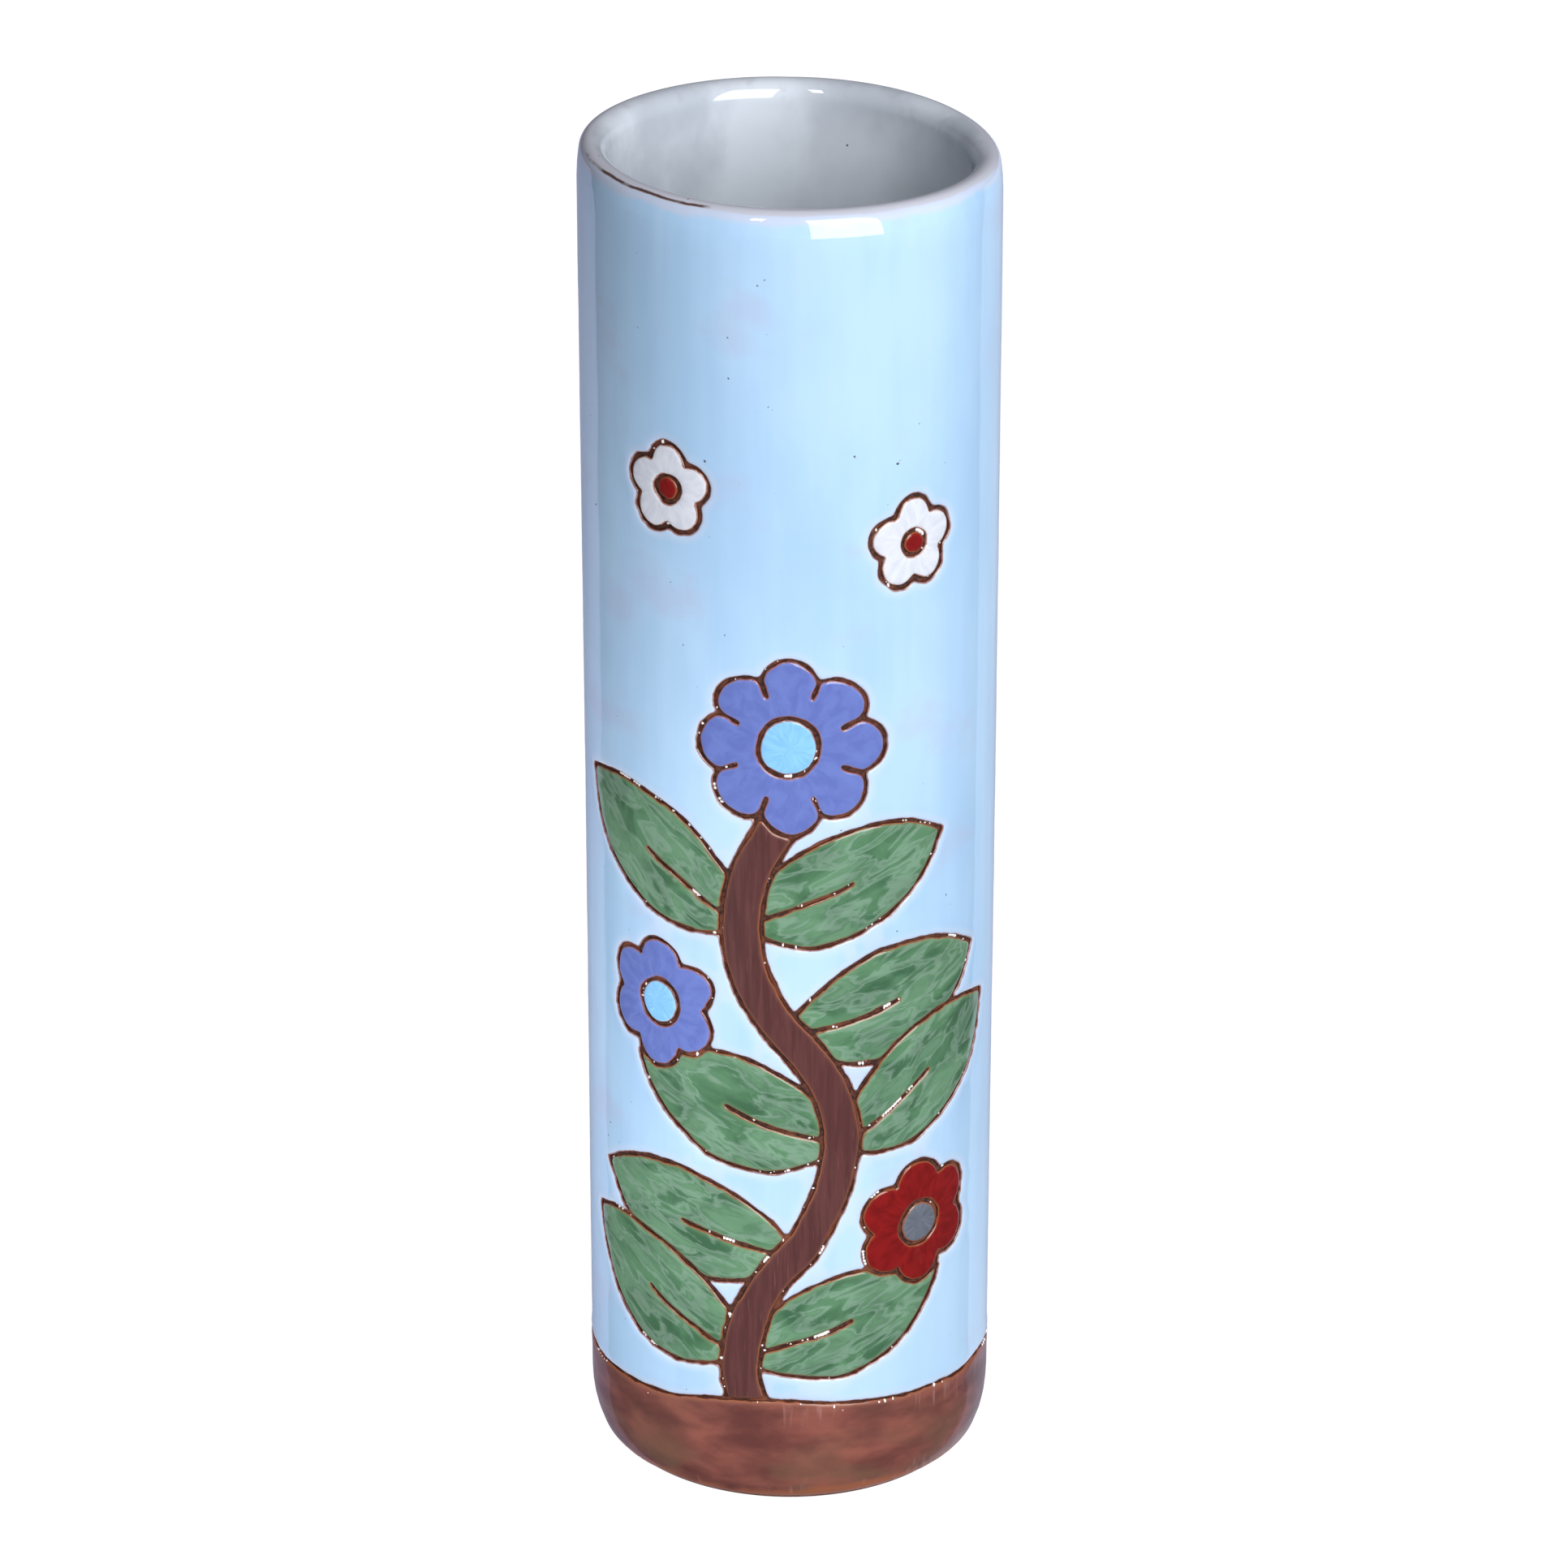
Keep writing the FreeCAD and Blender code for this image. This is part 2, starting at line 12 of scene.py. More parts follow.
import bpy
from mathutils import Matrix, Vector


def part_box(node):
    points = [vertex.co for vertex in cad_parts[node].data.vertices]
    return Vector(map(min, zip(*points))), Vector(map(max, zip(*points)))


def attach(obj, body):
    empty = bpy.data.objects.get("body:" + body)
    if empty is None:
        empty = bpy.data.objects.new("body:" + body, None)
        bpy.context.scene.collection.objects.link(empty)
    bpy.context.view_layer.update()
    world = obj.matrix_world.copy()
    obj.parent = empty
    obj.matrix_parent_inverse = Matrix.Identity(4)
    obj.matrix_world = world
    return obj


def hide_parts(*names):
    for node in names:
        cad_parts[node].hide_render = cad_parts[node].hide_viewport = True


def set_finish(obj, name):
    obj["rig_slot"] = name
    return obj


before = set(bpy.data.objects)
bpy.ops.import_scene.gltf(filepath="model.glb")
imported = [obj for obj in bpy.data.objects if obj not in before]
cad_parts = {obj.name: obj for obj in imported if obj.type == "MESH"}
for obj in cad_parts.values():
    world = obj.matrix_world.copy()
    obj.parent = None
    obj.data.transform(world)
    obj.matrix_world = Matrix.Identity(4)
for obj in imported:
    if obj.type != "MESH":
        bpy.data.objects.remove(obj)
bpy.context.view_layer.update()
print("the frame holds", len(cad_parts), "pieces")

# %% The tools used below
import random
from math import atan, atan2, ceil, cos, degrees, exp, hypot, pi, radians, sin

import bpy
import numpy as np
from mathutils import Vector, geometry, kdtree, noise

scene = bpy.context.scene

# %% [markdown]
# ## Sizes
#
# Every size comes from the frame, so the looks follow if the model is ever made larger or thinner.  Work
# goes on in millimetres, which suit glaze, and the meshes are written in metres, as Blender expects.

# %% Sizes read from the frame
MM = 0.001
COAT_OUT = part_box("sky_glaze")[1].x / MM
CLAY_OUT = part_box("clay_wall")[1].x / MM
CLAY_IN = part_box("lining_glaze")[1].x / MM
COAT = COAT_OUT - CLAY_OUT
BORE = CLAY_IN - COAT
BASE_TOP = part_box("clay_base")[1].z / MM
COIL_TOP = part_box("seam_coil")[1].z / MM
BAND_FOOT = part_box("ground_glaze")[0].z / MM
BAND_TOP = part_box("ground_glaze")[1].z / MM
print("outer radius", round(COAT_OUT, 2), "glaze", round(COAT, 2), "bore", round(BORE, 2))


def corners_of(node):
    """A CAD piece's vertices in millimetres, as rows of x, y, z."""
    return np.array([tuple(vertex.co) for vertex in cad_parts[node].data.vertices]) / MM


# %% [markdown]
# ## The mouth and the foot
#
# The mouth is cut a little out of level.  The sky glaze ends higher on the left than on the right, and that
# gives the slope.  The foot draws in on a curve, and the clay's own vertices give its radius at each height.
# The cut also waves a little, because it was made by hand, and stands highest at the back on the right.

# %% The sloping mouth and the curved foot
sky_corners = corners_of("sky_glaze")
left_top, right_top = (
    sky_corners[side * sky_corners[:, 0] > 0.99 * COAT_OUT][:, 2].max() for side in (-1, 1)
)
SLOPE = (left_top - right_top) / (2 * COAT_OUT)
SKY_TOP = (left_top + right_top) / 2
lip_corners = corners_of("lip_glaze")
MOUTH = (lip_corners[:, 2] + SLOPE * lip_corners[:, 0]).max()
print("mouth height", round(MOUTH, 2), "slope", round(degrees(atan(SLOPE)), 2), "degrees")

clay_corners = np.vstack([corners_of("clay_base"), corners_of("clay_wall")])
clay_reach = np.hypot(clay_corners[:, 0], clay_corners[:, 1])
foot_rows = {}
for height, radius in zip(clay_corners[:, 2].round(2), clay_reach):
    if radius > CLAY_IN + 0.1 and height < MOUTH / 2:
        foot_rows[height] = max(radius, foot_rows.get(height, 0))
foot_heights, foot_radii = np.array(sorted(foot_rows.items())).T


def clay_radius(height):
    """The true outer radius of the clay at a height."""
    return float(np.interp(height, foot_heights, foot_radii))


print("the foot draws in from", round(CLAY_OUT, 2), "to", round(clay_radius(0), 2))

# %% The height of a ring at the mouth
LIP_DROP = MOUTH - SKY_TOP
BACK_RISE, CORNER_RISE, SUNK_MEAN = 0.28, 0.9, 0.12


def rim_height(turn, radius, drop):
    """The height of a point so far below the mouth. turn is 0 in front and grows to the right."""
    wave = 0.22 * sin(2 * turn + 1.1) + 0.14 * sin(3 * turn - 0.6) - BACK_RISE * cos(turn)
    back_right = max(0, sin(turn)) * max(0, -cos(turn))
    level = MOUTH - SLOPE * radius * sin(turn) - drop
    return level + (wave - SUNK_MEAN) + CORNER_RISE * back_right


print("the lip glaze covers the last", round(LIP_DROP, 2), "mm")

# %% [markdown]
# ## The hand in the clay
#
# A slab bent by hand is never a true cylinder.  One slow wave of a few tenths of a millimetre is shared by
# the clay, the lining and every glaze, so they stay seated on each other.  Fingers smoothing the mouth roll
# its last few millimetres in, most of all in front.  The wall only ever leans inwards, so the vase stays
# within the frame's size.

# %% One shared unevenness
LEAN_MEAN, LEAN_SWING = 0.30, 0.12
MOUTH_CURVE, MOUTH_BEND = 7.0, 12.0

# Each wave of the wall has a share, a count of bulges round it, a start and a twist with the height.
WALL_WAVES = ((1.0, 2, 0.8, 85), (0.7, 3, 0.0, -48), (0.5, 5, 2.0, 30))


def rise(at, low, high):
    """0 up to low, 1 from high on, and smooth between."""
    share = min(1, max(0, (at - low) / (high - low)))
    return share * share * (3 - 2 * share)


def lean(turn, height):
    """How far the wall stands in from the true cylinder at an angle and a height."""
    waves = sum(s * sin(count * turn + start + height / twist) for s, count, start, twist in WALL_WAVES)
    drop = rim_height(turn, COAT_OUT, 0) - height
    rolled_in = (0.5 + 0.5 * cos(turn)) ** 1.5 * max(0, MOUTH_CURVE - drop) ** 2 / (2 * MOUTH_BEND)
    return rise(height, 2, 9) * (-LEAN_MEAN + LEAN_SWING * waves / 2.2) - rolled_in


def around(turn, radius, height):
    """The point at an angle and a radius round the axis, and at a height."""
    return (radius * sin(turn), -radius * cos(turn), height)


def on_vase(along, height, proud):
    """The point, in metres, at an arc length along the surface, a height, and so far proud of the clay."""
    turn = along / COAT_OUT
    step = 0.1
    slant = (clay_radius(height + step) - clay_radius(height - step)) / (2 * step)
    length = hypot(1, slant)
    radius = clay_radius(height) + lean(turn, height) + proud / length
    return [c * MM for c in around(turn, radius, height - proud * slant / length)]


def soft(along, height, scale, seed):
    """Smooth noise from -1 to 1 on the surface, joined at the back."""
    at = Vector(around(along / COAT_OUT, COAT_OUT, height))
    return noise.noise(at / scale + Vector((seed * 7.3, seed * 3.1, seed * 5.7)))


def waver(along, height, *parts):
    """A sum of soft noises, each given as (size, scale, seed)."""
    return sum(size * soft(along, height, scale, seed) for size, scale, seed in parts)


print("the wall leans in by", [round(lean(t, 120.0), 2) for t in (0, 1, 2, 3)])

# %% [markdown]
# ## Outlines from the frame
#
# Each glaze is a thin tile in the frame.  Its outer face ends in one or more closed lines.  Unrolled on the
# flat as (along, height), those lines are the potter's drawing.  A line that goes right round the vase is
# cut at the back, and its period says how far on its first point comes again.  Every line runs with the
# glaze on its left.

# %% Unroll the outlines of a glaze
PERIOD = 2 * pi * COAT_OUT


def cut_at_back(ring):
    """A line round the vase, turned to start at the back, and its period, below 0 if it runs left."""
    period = PERIOD if ring[-1, 0] > ring[0, 0] else -PERIOD
    closed = np.vstack([ring, ring[:1] + (period, 0)])
    run = closed[:, 0] / period
    seam = ceil(run[0] - 0.5) + 0.5
    i = int(np.flatnonzero((run[:-1] < seam) & (run[1:] >= seam))[0])
    share = (seam - run[i]) / (run[i + 1] - run[i])
    crossing = closed[i] + share * (closed[i + 1] - closed[i])
    line = np.vstack([crossing, ring[i + 1 :], ring[: i + 1] + (period, 0)])
    return line - ((seam + 0.5) * period, 0), period


def open_edges(faces):
    """The edges of triangles that have no neighbour across them."""
    edges = {pair for a, b, c in faces for pair in ((a, b), (b, c), (c, a))}
    return [(a, b) for a, b in edges if (b, a) not in edges]


def outlines(node):
    """The closed edges of a glaze's outer face as (points, period), unrolled to (along, height)."""
    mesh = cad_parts[node].data
    mesh.calc_loop_triangles()
    places, same = np.unique(corners_of(node).round(4), axis=0, return_inverse=True)
    faces = same.reshape(-1)[np.array([tuple(t.vertices) for t in mesh.loop_triangles])]
    proud = np.hypot(places[:, 0], places[:, 1]) - [clay_radius(height) for height in places[:, 2]]
    faces = faces[(proud[faces] > COAT / 2).all(axis=1)]
    after = dict(open_edges(faces))
    found = []
    for start in sorted(after):
        if start not in after:
            continue
        chain, at = [start], after.pop(start)
        while at != start and at in after:
            chain.append(at)
            at = after.pop(at)
        turns = np.unwrap(np.arctan2(places[chain, 0], -places[chain, 1]))
        ring = np.column_stack([turns * COAT_OUT, places[chain, 2]])
        goes_round = abs(ring[-1, 0] - ring[0, 0]) > PERIOD / 2
        found.append(cut_at_back(ring) if goes_round else (ring, 0))
    return found


for node in ("leaf_1_glaze", "sky_glaze", "ground_glaze"):
    print(node, [(len(ring), "round the vase" if period else "closed") for ring, period in outlines(node)])

# %% [markdown]
# ## The drawing hand
#
# A scratched line wanders slowly and trembles a little.  The slow wander is one field over the whole
# surface, so both sides of a line move together.  The tremble differs from pool to pool, which makes the
# line swell and thin as a real one does.  The melting glaze also creeps a little way over the line, most of
# all along the ground.  Near the foot the field lifts the ground line in front and lowers it at the sides.
#
# The frame gives curves as short flats.  Points at even steps are pulled towards their neighbours and back
# a little further, many times over, which rounds the flats and keeps the size.  Real corners are left out.

# %% Where the hand wanders
GROUND_LIFT, GROUND_DIP = 3.7, 1.7


def wander(points):
    """Where points of the drawing end up when a hand draws them."""
    moved = []
    for along, height in points:
        turn = (along / COAT_OUT + pi) % (2 * pi) - pi
        near_ground = exp(-(((height - BAND_TOP) / 9) ** 2))
        lift = near_ground * (GROUND_LIFT * exp(-((turn / 0.7) ** 2)) - GROUND_DIP)
        free = rise(SKY_TOP - height, 4, 14) * rise(height, BAND_FOOT, BAND_FOOT + 5)
        aside = along + free * waver(along, height, (1.0, 24, 1), (0.4, 8, 2))
        moved.append((aside, height + free * (waver(along, height, (1.0, 24, 3), (0.4, 8, 4)) + lift)))
    return np.array(moved)


print("the ground line's front moves to", wander(np.array([[0.0, BAND_TOP]])).round(2))

# %% Even steps along a line
LINE_STEP = 0.6
SMOOTHING = (0.25, -0.265) * 12
CORNER = radians(45)


def steps_along(line, period):
    """From each point of a closed line to the next."""
    return np.vstack([line[1:], line[:1] + (period, 0)]) - line


def bend_at(line, period):
    """Twice the step from each point to the middle of its neighbours."""
    onward = steps_along(line, period)
    return onward - np.roll(onward, 1, axis=0)


def near_corners(line, period):
    """Which points of an even line are at a corner of the drawing or next to one."""
    steps = steps_along(line, period)
    ahead = steps + np.roll(steps, -1, axis=0)
    behind = np.roll(ahead, 2, axis=0)
    turned = ahead[:, 0] * behind[:, 1] - ahead[:, 1] * behind[:, 0]
    corner = abs(np.arctan2(turned, (ahead * behind).sum(axis=1))) > CORNER
    return corner | np.roll(corner, 1) | np.roll(corner, -1)


def evenly(line, period):
    """The line at even steps. Its flats turn into curves, and its corners are just rounded off."""
    points = np.vstack([line, line[:1] + (period, 0)])
    runs = np.concatenate([[0], np.cumsum(np.linalg.norm(steps_along(line, period), axis=1))])
    at = np.linspace(0, runs[-1], max(10, int(round(runs[-1] / LINE_STEP))), endpoint=False)
    even = np.column_stack([np.interp(at, runs, column) for column in points.T])
    free = ~near_corners(even, period)[:, None]
    for pull in SMOOTHING:
        even = even + pull * free * bend_at(even, period)
    return even + 0.2 * bend_at(even, period)


def across(line, period):
    """Unit vectors square to a closed line, on its left."""
    onward = steps_along(line, period)
    ahead = onward + np.roll(onward, 1, axis=0)
    left = np.column_stack([-ahead[:, 1], ahead[:, 0]])
    return left / np.maximum(np.linalg.norm(left, axis=1), 1e-9)[:, None]


print("leaf 1 takes", len(evenly(*outlines("leaf_1_glaze")[0])), "even steps")

# %% Draw an outline as a hand would
CREEP, GROUND_CREEP = 0.17, 0.26


def drawn_lines(node, seed):
    """Every outline of a glaze as the hand draws it, with its period."""
    found = []
    for own, (line, period) in enumerate(outlines(node), seed):
        moved = wander(evenly(line, period))
        tremble = ((0.11, 9, own + 0.2), (0.12, 2.6, own), (0.07, 0.9, own + 0.5))
        push = np.array([waver(*point, *tremble) for point in moved]) - (GROUND_CREEP if period else CREEP)
        found.append((moved + across(moved, period) * push[:, None], period))
    return found


leaf_line = drawn_lines("leaf_1_glaze", 1)[0][0]
print("leaf 1 reaches from", leaf_line.min(axis=0).round(1), "to", leaf_line.max(axis=0).round(1))

# %% [markdown]
# ## Filling an outline
#
# Melted glaze pulls itself into a skin with a rounded rim, a little thicker just inside it.  The mesh needs
# close rows of points along the rim and few in the middle.  A constrained triangulation fills any outline,
# with or without islands, from such points, so the same functions make the sky and the smallest petal.

# %% Inside an outline
def inside(points, loops):
    """Which points lie inside an odd number of the loops."""
    odd = np.zeros(len(points), dtype=bool)
    x, y = points.T
    for loop in loops:
        for (x0, y0), (x1, y1) in zip(loop, np.roll(loop, -1, axis=0)):
            if y0 != y1:
                level = (y0 > y) != (y1 > y)
                odd ^= level & (x < (x1 - x0) * (y - y0) / (y1 - y0) + x0)
    return odd


leaf_middle = leaf_line.mean(axis=0)[None]
print("the middle of leaf 1 is inside it:", inside(leaf_middle, [leaf_line])[0])


# %% The distance to a scratched edge
def search_tree(points):
    """A tree that finds the points near a place."""
    tree = kdtree.KDTree(len(points))
    for i, point in enumerate(points):
        tree.insert(point, i)
    tree.balance()
    return tree


def tree_of(lines):
    """A search tree over points set closely along the lines."""
    points = []
    for line, period in lines:
        onward = steps_along(line, period)
        close = np.vstack([line + onward * share for share in (0, 0.2, 0.4, 0.6, 0.8)])
        points += [close + (shift, 0) for shift in ((-period, 0, period) if period else (0,))]
    points = np.vstack(points)
    points = points[abs(points[:, 0]) < PERIOD / 2 + 6]
    return search_tree([(along, height, 0) for along, height in points])


def gap_to(tree, points):
    """The distance from each point to the nearest one in the tree."""
    return np.array([tree.find((a, h, 0))[2] for a, h in points])


print("its rib runs", gap_to(tree_of([(leaf_line, 0)]), leaf_middle).round(2), "mm from that middle")

# %% Points and triangles inside an outline
RIM_ROWS = (0.16, 0.42, 0.85)
CLOSEST, UNDER_STEP = 0.17, 5.5

# A triangle smaller than this, in square millimetres, is three points on one straight edge, and goes.
SLIVER = 1e-4


def rim_points(lines, loops, tree):
    """Rows of points that follow each scratched line just inside the pool."""
    rows = []
    for depth in RIM_ROWS:
        for line, period in lines:
            for side in (depth, -depth):
                row = line + side * across(line, period)
                rows.append(row[gap_to(tree, row) > 0.93 * depth])
    rows = np.vstack(rows)
    rows = rows[inside(rows, loops)]
    _, first = np.unique((rows / CLOSEST).round(), axis=0, return_index=True)
    return rows[np.sort(first)]


def field_points(loops, step):
    """A staggered grid over the outline."""
    low = np.min([loop.min(axis=0) for loop in loops], axis=0)
    high = np.max([loop.max(axis=0) for loop in loops], axis=0)
    grid = []
    for row, height in enumerate(np.arange(low[1] + step / 2, high[1], step * 0.87)):
        start = low[0] + step * (0.5 + 0.5 * (row % 2))
        grid += [(along, height) for along in np.arange(start, high[0], step)]
    grid = np.array(grid)
    return grid[inside(grid, loops)]


def fill(loops, extra):
    """Triangles over the outlines and the extra points: all points, and triples of indices."""
    edges, first = [], 0
    for loop in loops:
        edges += [(first + i, first + (i + 1) % len(loop)) for i in range(len(loop))]
        first += len(loop)
    points = np.vstack(list(loops) + [extra])
    found = geometry.delaunay_2d_cdt([Vector(p) for p in points], edges, [], 0, 1e-6)
    points, triples = np.array([tuple(p) for p in found[0]]), np.array(found[2])
    triples = triples[inside(points[triples].mean(axis=1), loops)]
    a, b, c = (points[triples[:, k]] for k in (0, 1, 2))
    (x1, y1), (x2, y2) = (b - a).T, (c - a).T
    area = (x1 * y2 - y1 * x2) / 2
    triples[area < 0] = triples[area < 0][:, ::-1]
    return points, triples[abs(area) > SLIVER]


coarse_faces = fill([leaf_line], field_points([leaf_line], UNDER_STEP))[1]
print("the underside of leaf 1 has", len(coarse_faces), "triangles")

# %% [markdown]
# ## A pool of glaze
#
# A pool is a closed solid: a skin that swells behind its rim, an underside sunk just into the clay, and the
# low wall between them.  For its colour, each point keeps how far it is from a scratched edge and below the
# mouth, and which way the brush ran.

# %% How thick a pool is
SUNK = 0.06
RIM_WIDTH, RIM_THIN, SWELL = 0.7, 0.3, 0.1


def pooled(gap):
    """The thickness of the glaze at a distance from the scratched edge."""
    rim = np.clip(gap / RIM_WIDTH, 0, 1)
    body = RIM_THIN + (1 - RIM_THIN) * np.sqrt(1 - (1 - rim) ** 2)
    return COAT * body + SWELL * np.exp(-(((gap - 1) / 0.6) ** 2))


print("a pool is", pooled(np.array([0, 0.3, 1.0, 5.0])).round(2), "mm thick at 0, 0.3, 1 and 5 mm in")

# %% A mesh that carries values
# Points closer than this, in metres, meet.
MEET = 3e-7


def below_rim(point):
    """How far a point, in metres, lies below the rim above it, in millimetres."""
    x, y, z = (c / MM for c in point)
    return rim_height(atan2(x, -y), hypot(x, y), 0) - z


def welded(points, faces):
    """Which points to keep, and the faces over them, once points that meet are one."""
    tree = search_tree(points)
    first = [min(i for _, i, _ in tree.find_range(point, MEET)) for point in points]
    keep, same = np.unique(first, return_inverse=True)
    joined = []
    for face in faces:
        corners = [int(same[i]) for i in face]
        corners = [c for k, c in enumerate(corners) if c != corners[k - 1]]
        if len(set(corners)) > 2:
            joined.append(corners)
    return keep, joined


def put(name, data):
    """A new object in the scene."""
    thing = bpy.data.objects.new(name, data)
    scene.collection.objects.link(thing)
    return thing


def new_mesh(name, points, faces, crease, **carried):
    """A smooth mesh object whose points carry values. Points that meet are joined."""
    points = np.array(points)
    keep, faces = welded(points, faces)
    mesh = bpy.data.meshes.new(name)
    mesh.from_pydata(points[keep].tolist(), [], faces)
    carried["drop_mm"] = np.array([below_rim(p) for p in points])
    for key, values in carried.items():
        kind, field = ("FLOAT_VECTOR", "vector") if values.ndim == 2 else ("FLOAT", "value")
        attribute = mesh.attributes.new(key, kind, "POINT")
        attribute.data.foreach_set(field, values[keep].astype(np.float32).ravel())
    mesh.shade_smooth()
    mesh.set_sharp_from_angle(angle=radians(crease))
    return put(name, mesh)


print("the ground line is", round(below_rim(on_vase(0, BAND_TOP, 0)), 1), "mm below the mouth")


# %% A closed pool, and how the brush ran
def pool_mesh(name, loops, scratched, step, brush, is_seam=None):
    """The closed solid of a pool. Its scratched lines have a rim, and its seam has no wall."""
    tree = tree_of(scratched)
    rows = rim_points(scratched, loops, tree)
    grid = field_points(loops, step)
    grid = grid[gap_to(tree, grid) > RIM_ROWS[-1] + 0.35 * step]
    skin, skin_faces = fill(loops, np.vstack([rows, grid]))
    under, under_faces = fill(loops, field_points(loops, UNDER_STEP))
    gap = gap_to(tree, skin)
    ripple = np.array([waver(a, h, (0.035, 11, 8), (0.015, 3.5, 9)) for a, h in skin])
    proud = pooled(gap) + ripple * np.clip(gap / 2, 0, 1)
    points = [on_vase(a, h, p) for (a, h), p in zip(skin, proud)]
    points += [on_vase(a, h, -SUNK) for a, h in under]
    below = {tuple(p.round(4)): len(skin) + i for i, p in enumerate(under)}
    faces = [tuple(f) for f in skin_faces] + [tuple(len(skin) + f[::-1]) for f in under_faces]
    for a, b in open_edges(skin_faces):
        if not (is_seam and is_seam(skin[a]) and is_seam(skin[b])):
            faces.append((b, a, below[tuple(skin[a].round(4))], below[tuple(skin[b].round(4))]))
    edge = np.concatenate([gap, np.zeros(len(under))])
    return new_mesh(name, points, faces, 60, edge_mm=edge, brush=brush(np.vstack([skin, under])))


def straight_brush(angle, seed):
    """A brush that runs at an angle from upright; gives (across, along, seed) for each point."""
    right, up = (cos(angle), -sin(angle)), (sin(angle), cos(angle))
    return lambda flat: np.column_stack([flat @ right, flat @ up, np.full(len(flat), seed * 10.0)])


def petal_brush(centre, seed):
    """A brush that pulls each petal out from the middle of the bloom."""

    def strokes(flat):
        out = (flat - centre).T
        return np.column_stack([np.arctan2(*out) * 8, np.hypot(*out), np.full(len(flat), seed * 10.0)])

    return strokes


def finish_piece(piece, slot, node):
    """Puts a piece in place of its CAD node."""
    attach(piece, "root")
    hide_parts(node)
    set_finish(piece, slot)
    return piece


print("one step up is", straight_brush(radians(30), 0)(np.array([[0, 1]])).round(2), "to a tilted brush")

# %% [markdown]
# ## Leaves, stem and blooms
#
# The potter lays each colour with a soft brush: along a leaf from its foot to its tip, up the stem, and out
# from the eye of a bloom.  The direction is kept with the pool, for the streaks in the fired glaze.

# %% Lay the motifs
FIELD_STEP, PETAL_STEP = 2.4, 1.6
rims = []


def leaf_angle(node):
    """How far a leaf leans from upright, from the long axis of its outline."""
    ring = outlines(node)[0][0]
    spread = np.linalg.eigh(np.cov((ring - ring.mean(axis=0)).T))[1][:, 1]
    return atan2(spread[0], spread[1])


def lay(node, slot, brush, step=FIELD_STEP):
    """Makes the pool for a glaze, and keeps its rims, where crumbs will gather."""
    lines = drawn_lines(node, 10 * len(rims) + 1)
    rims.append(lines)
    finish_piece(pool_mesh(node, [line for line, _ in lines], lines, step, brush), slot, node)


leaves = [node for node in sorted(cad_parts) if node.startswith("leaf_")]
for number, node in enumerate(leaves):
    lay(node, "green_glaze", straight_brush(leaf_angle(node), number))
lay("stem_glaze", "umber_glaze", straight_brush(0, 20), 2.0)

BLOOMS = (
    ("top_bloom", "periwinkle", "turquoise"),
    ("left_bloom", "periwinkle", "turquoise"),
    ("right_bloom", "red", "grey"),
    ("left_blossom", "blossom_white", "red"),
    ("right_blossom", "blossom_white", "red"),
)
for number, (bloom, *colours) in enumerate(BLOOMS):
    ring = outlines(f"{bloom}_eye_glaze")[0][0]
    centre = (ring.min(axis=0) + ring.max(axis=0)) / 2
    for part, colour, seed in zip(("petals", "eye"), colours, (30, 40)):
        lay(f"{bloom}_{part}_glaze", f"{colour}_glaze", petal_brush(centre, seed + number), PETAL_STEP)
print("laid", len(rims), "colours")

# %% [markdown]
# ## Sky and ground
#
# The two fields that go right round are cut open at the back, filled as a flat strip and joined again.  The
# sky's upper edge isn't scratched: the sky runs into the glaze of the lip, so both share one row of points.

# %% The row of points that the sky shares with the lip
LIP_TURNS = 192
turns_round = [2 * pi * (0.5 - i / LIP_TURNS) for i in range(LIP_TURNS)]
joint = np.array([(t * COAT_OUT, rim_height(t, COAT_OUT, LIP_DROP)) for t in turns_round])
print("the sky ends in", len(joint), "points")


# %% Lay the sky and the ground
def make_ring_pool(node, slot, seed, upper=None):
    """A pool right round the vase. upper is its top edge, run to the left, if not scratched."""
    lines = drawn_lines(node, seed)
    low = next(line for line, period in lines if period > 0)
    high = next(line for line, period in lines if period < 0) if upper is None else upper
    scratched = [(line, period) for line, period in lines if period >= 0 or upper is None]
    shift = np.array((PERIOD, 0))
    top_left = high[0] - shift
    count = max(2, int((top_left[1] - low[0, 1]) / 3))
    seam = low[0] + (top_left - low[0]) * (np.arange(1, count) / count)[:, None]
    strip = np.vstack([low, low[:1] + shift, seam + shift, high, top_left, seam[::-1]])
    loops = [strip] + [line for line, period in lines if period == 0]

    def is_seam(point):
        share = (point[1] - low[0, 1]) / (top_left[1] - low[0, 1])
        offset = point[0] - low[0, 0] - share * (top_left[0] - low[0, 0])
        return min(abs(offset), abs(offset - PERIOD)) < 1e-3

    piece = pool_mesh(node, loops, scratched, FIELD_STEP, straight_brush(0, seed), is_seam)
    rims.append(scratched)
    return finish_piece(piece, slot, node)


sky = make_ring_pool("sky_glaze", "sky_glaze", 201, joint)
ground = make_ring_pool("ground_glaze", "earth_glaze", 211)
print("the sky has", len(sky.data.polygons), "faces and the ground", len(ground.data.polygons))

# %% [markdown]
# ## Rings: clay, lining and lip
#
# The rest is round.  Each piece is a cross-section carried round the axis, as a profile tool would shape it,
# with the same unevenness as the pools that lie on it.  The lip's glaze bulges over both scraped edges.

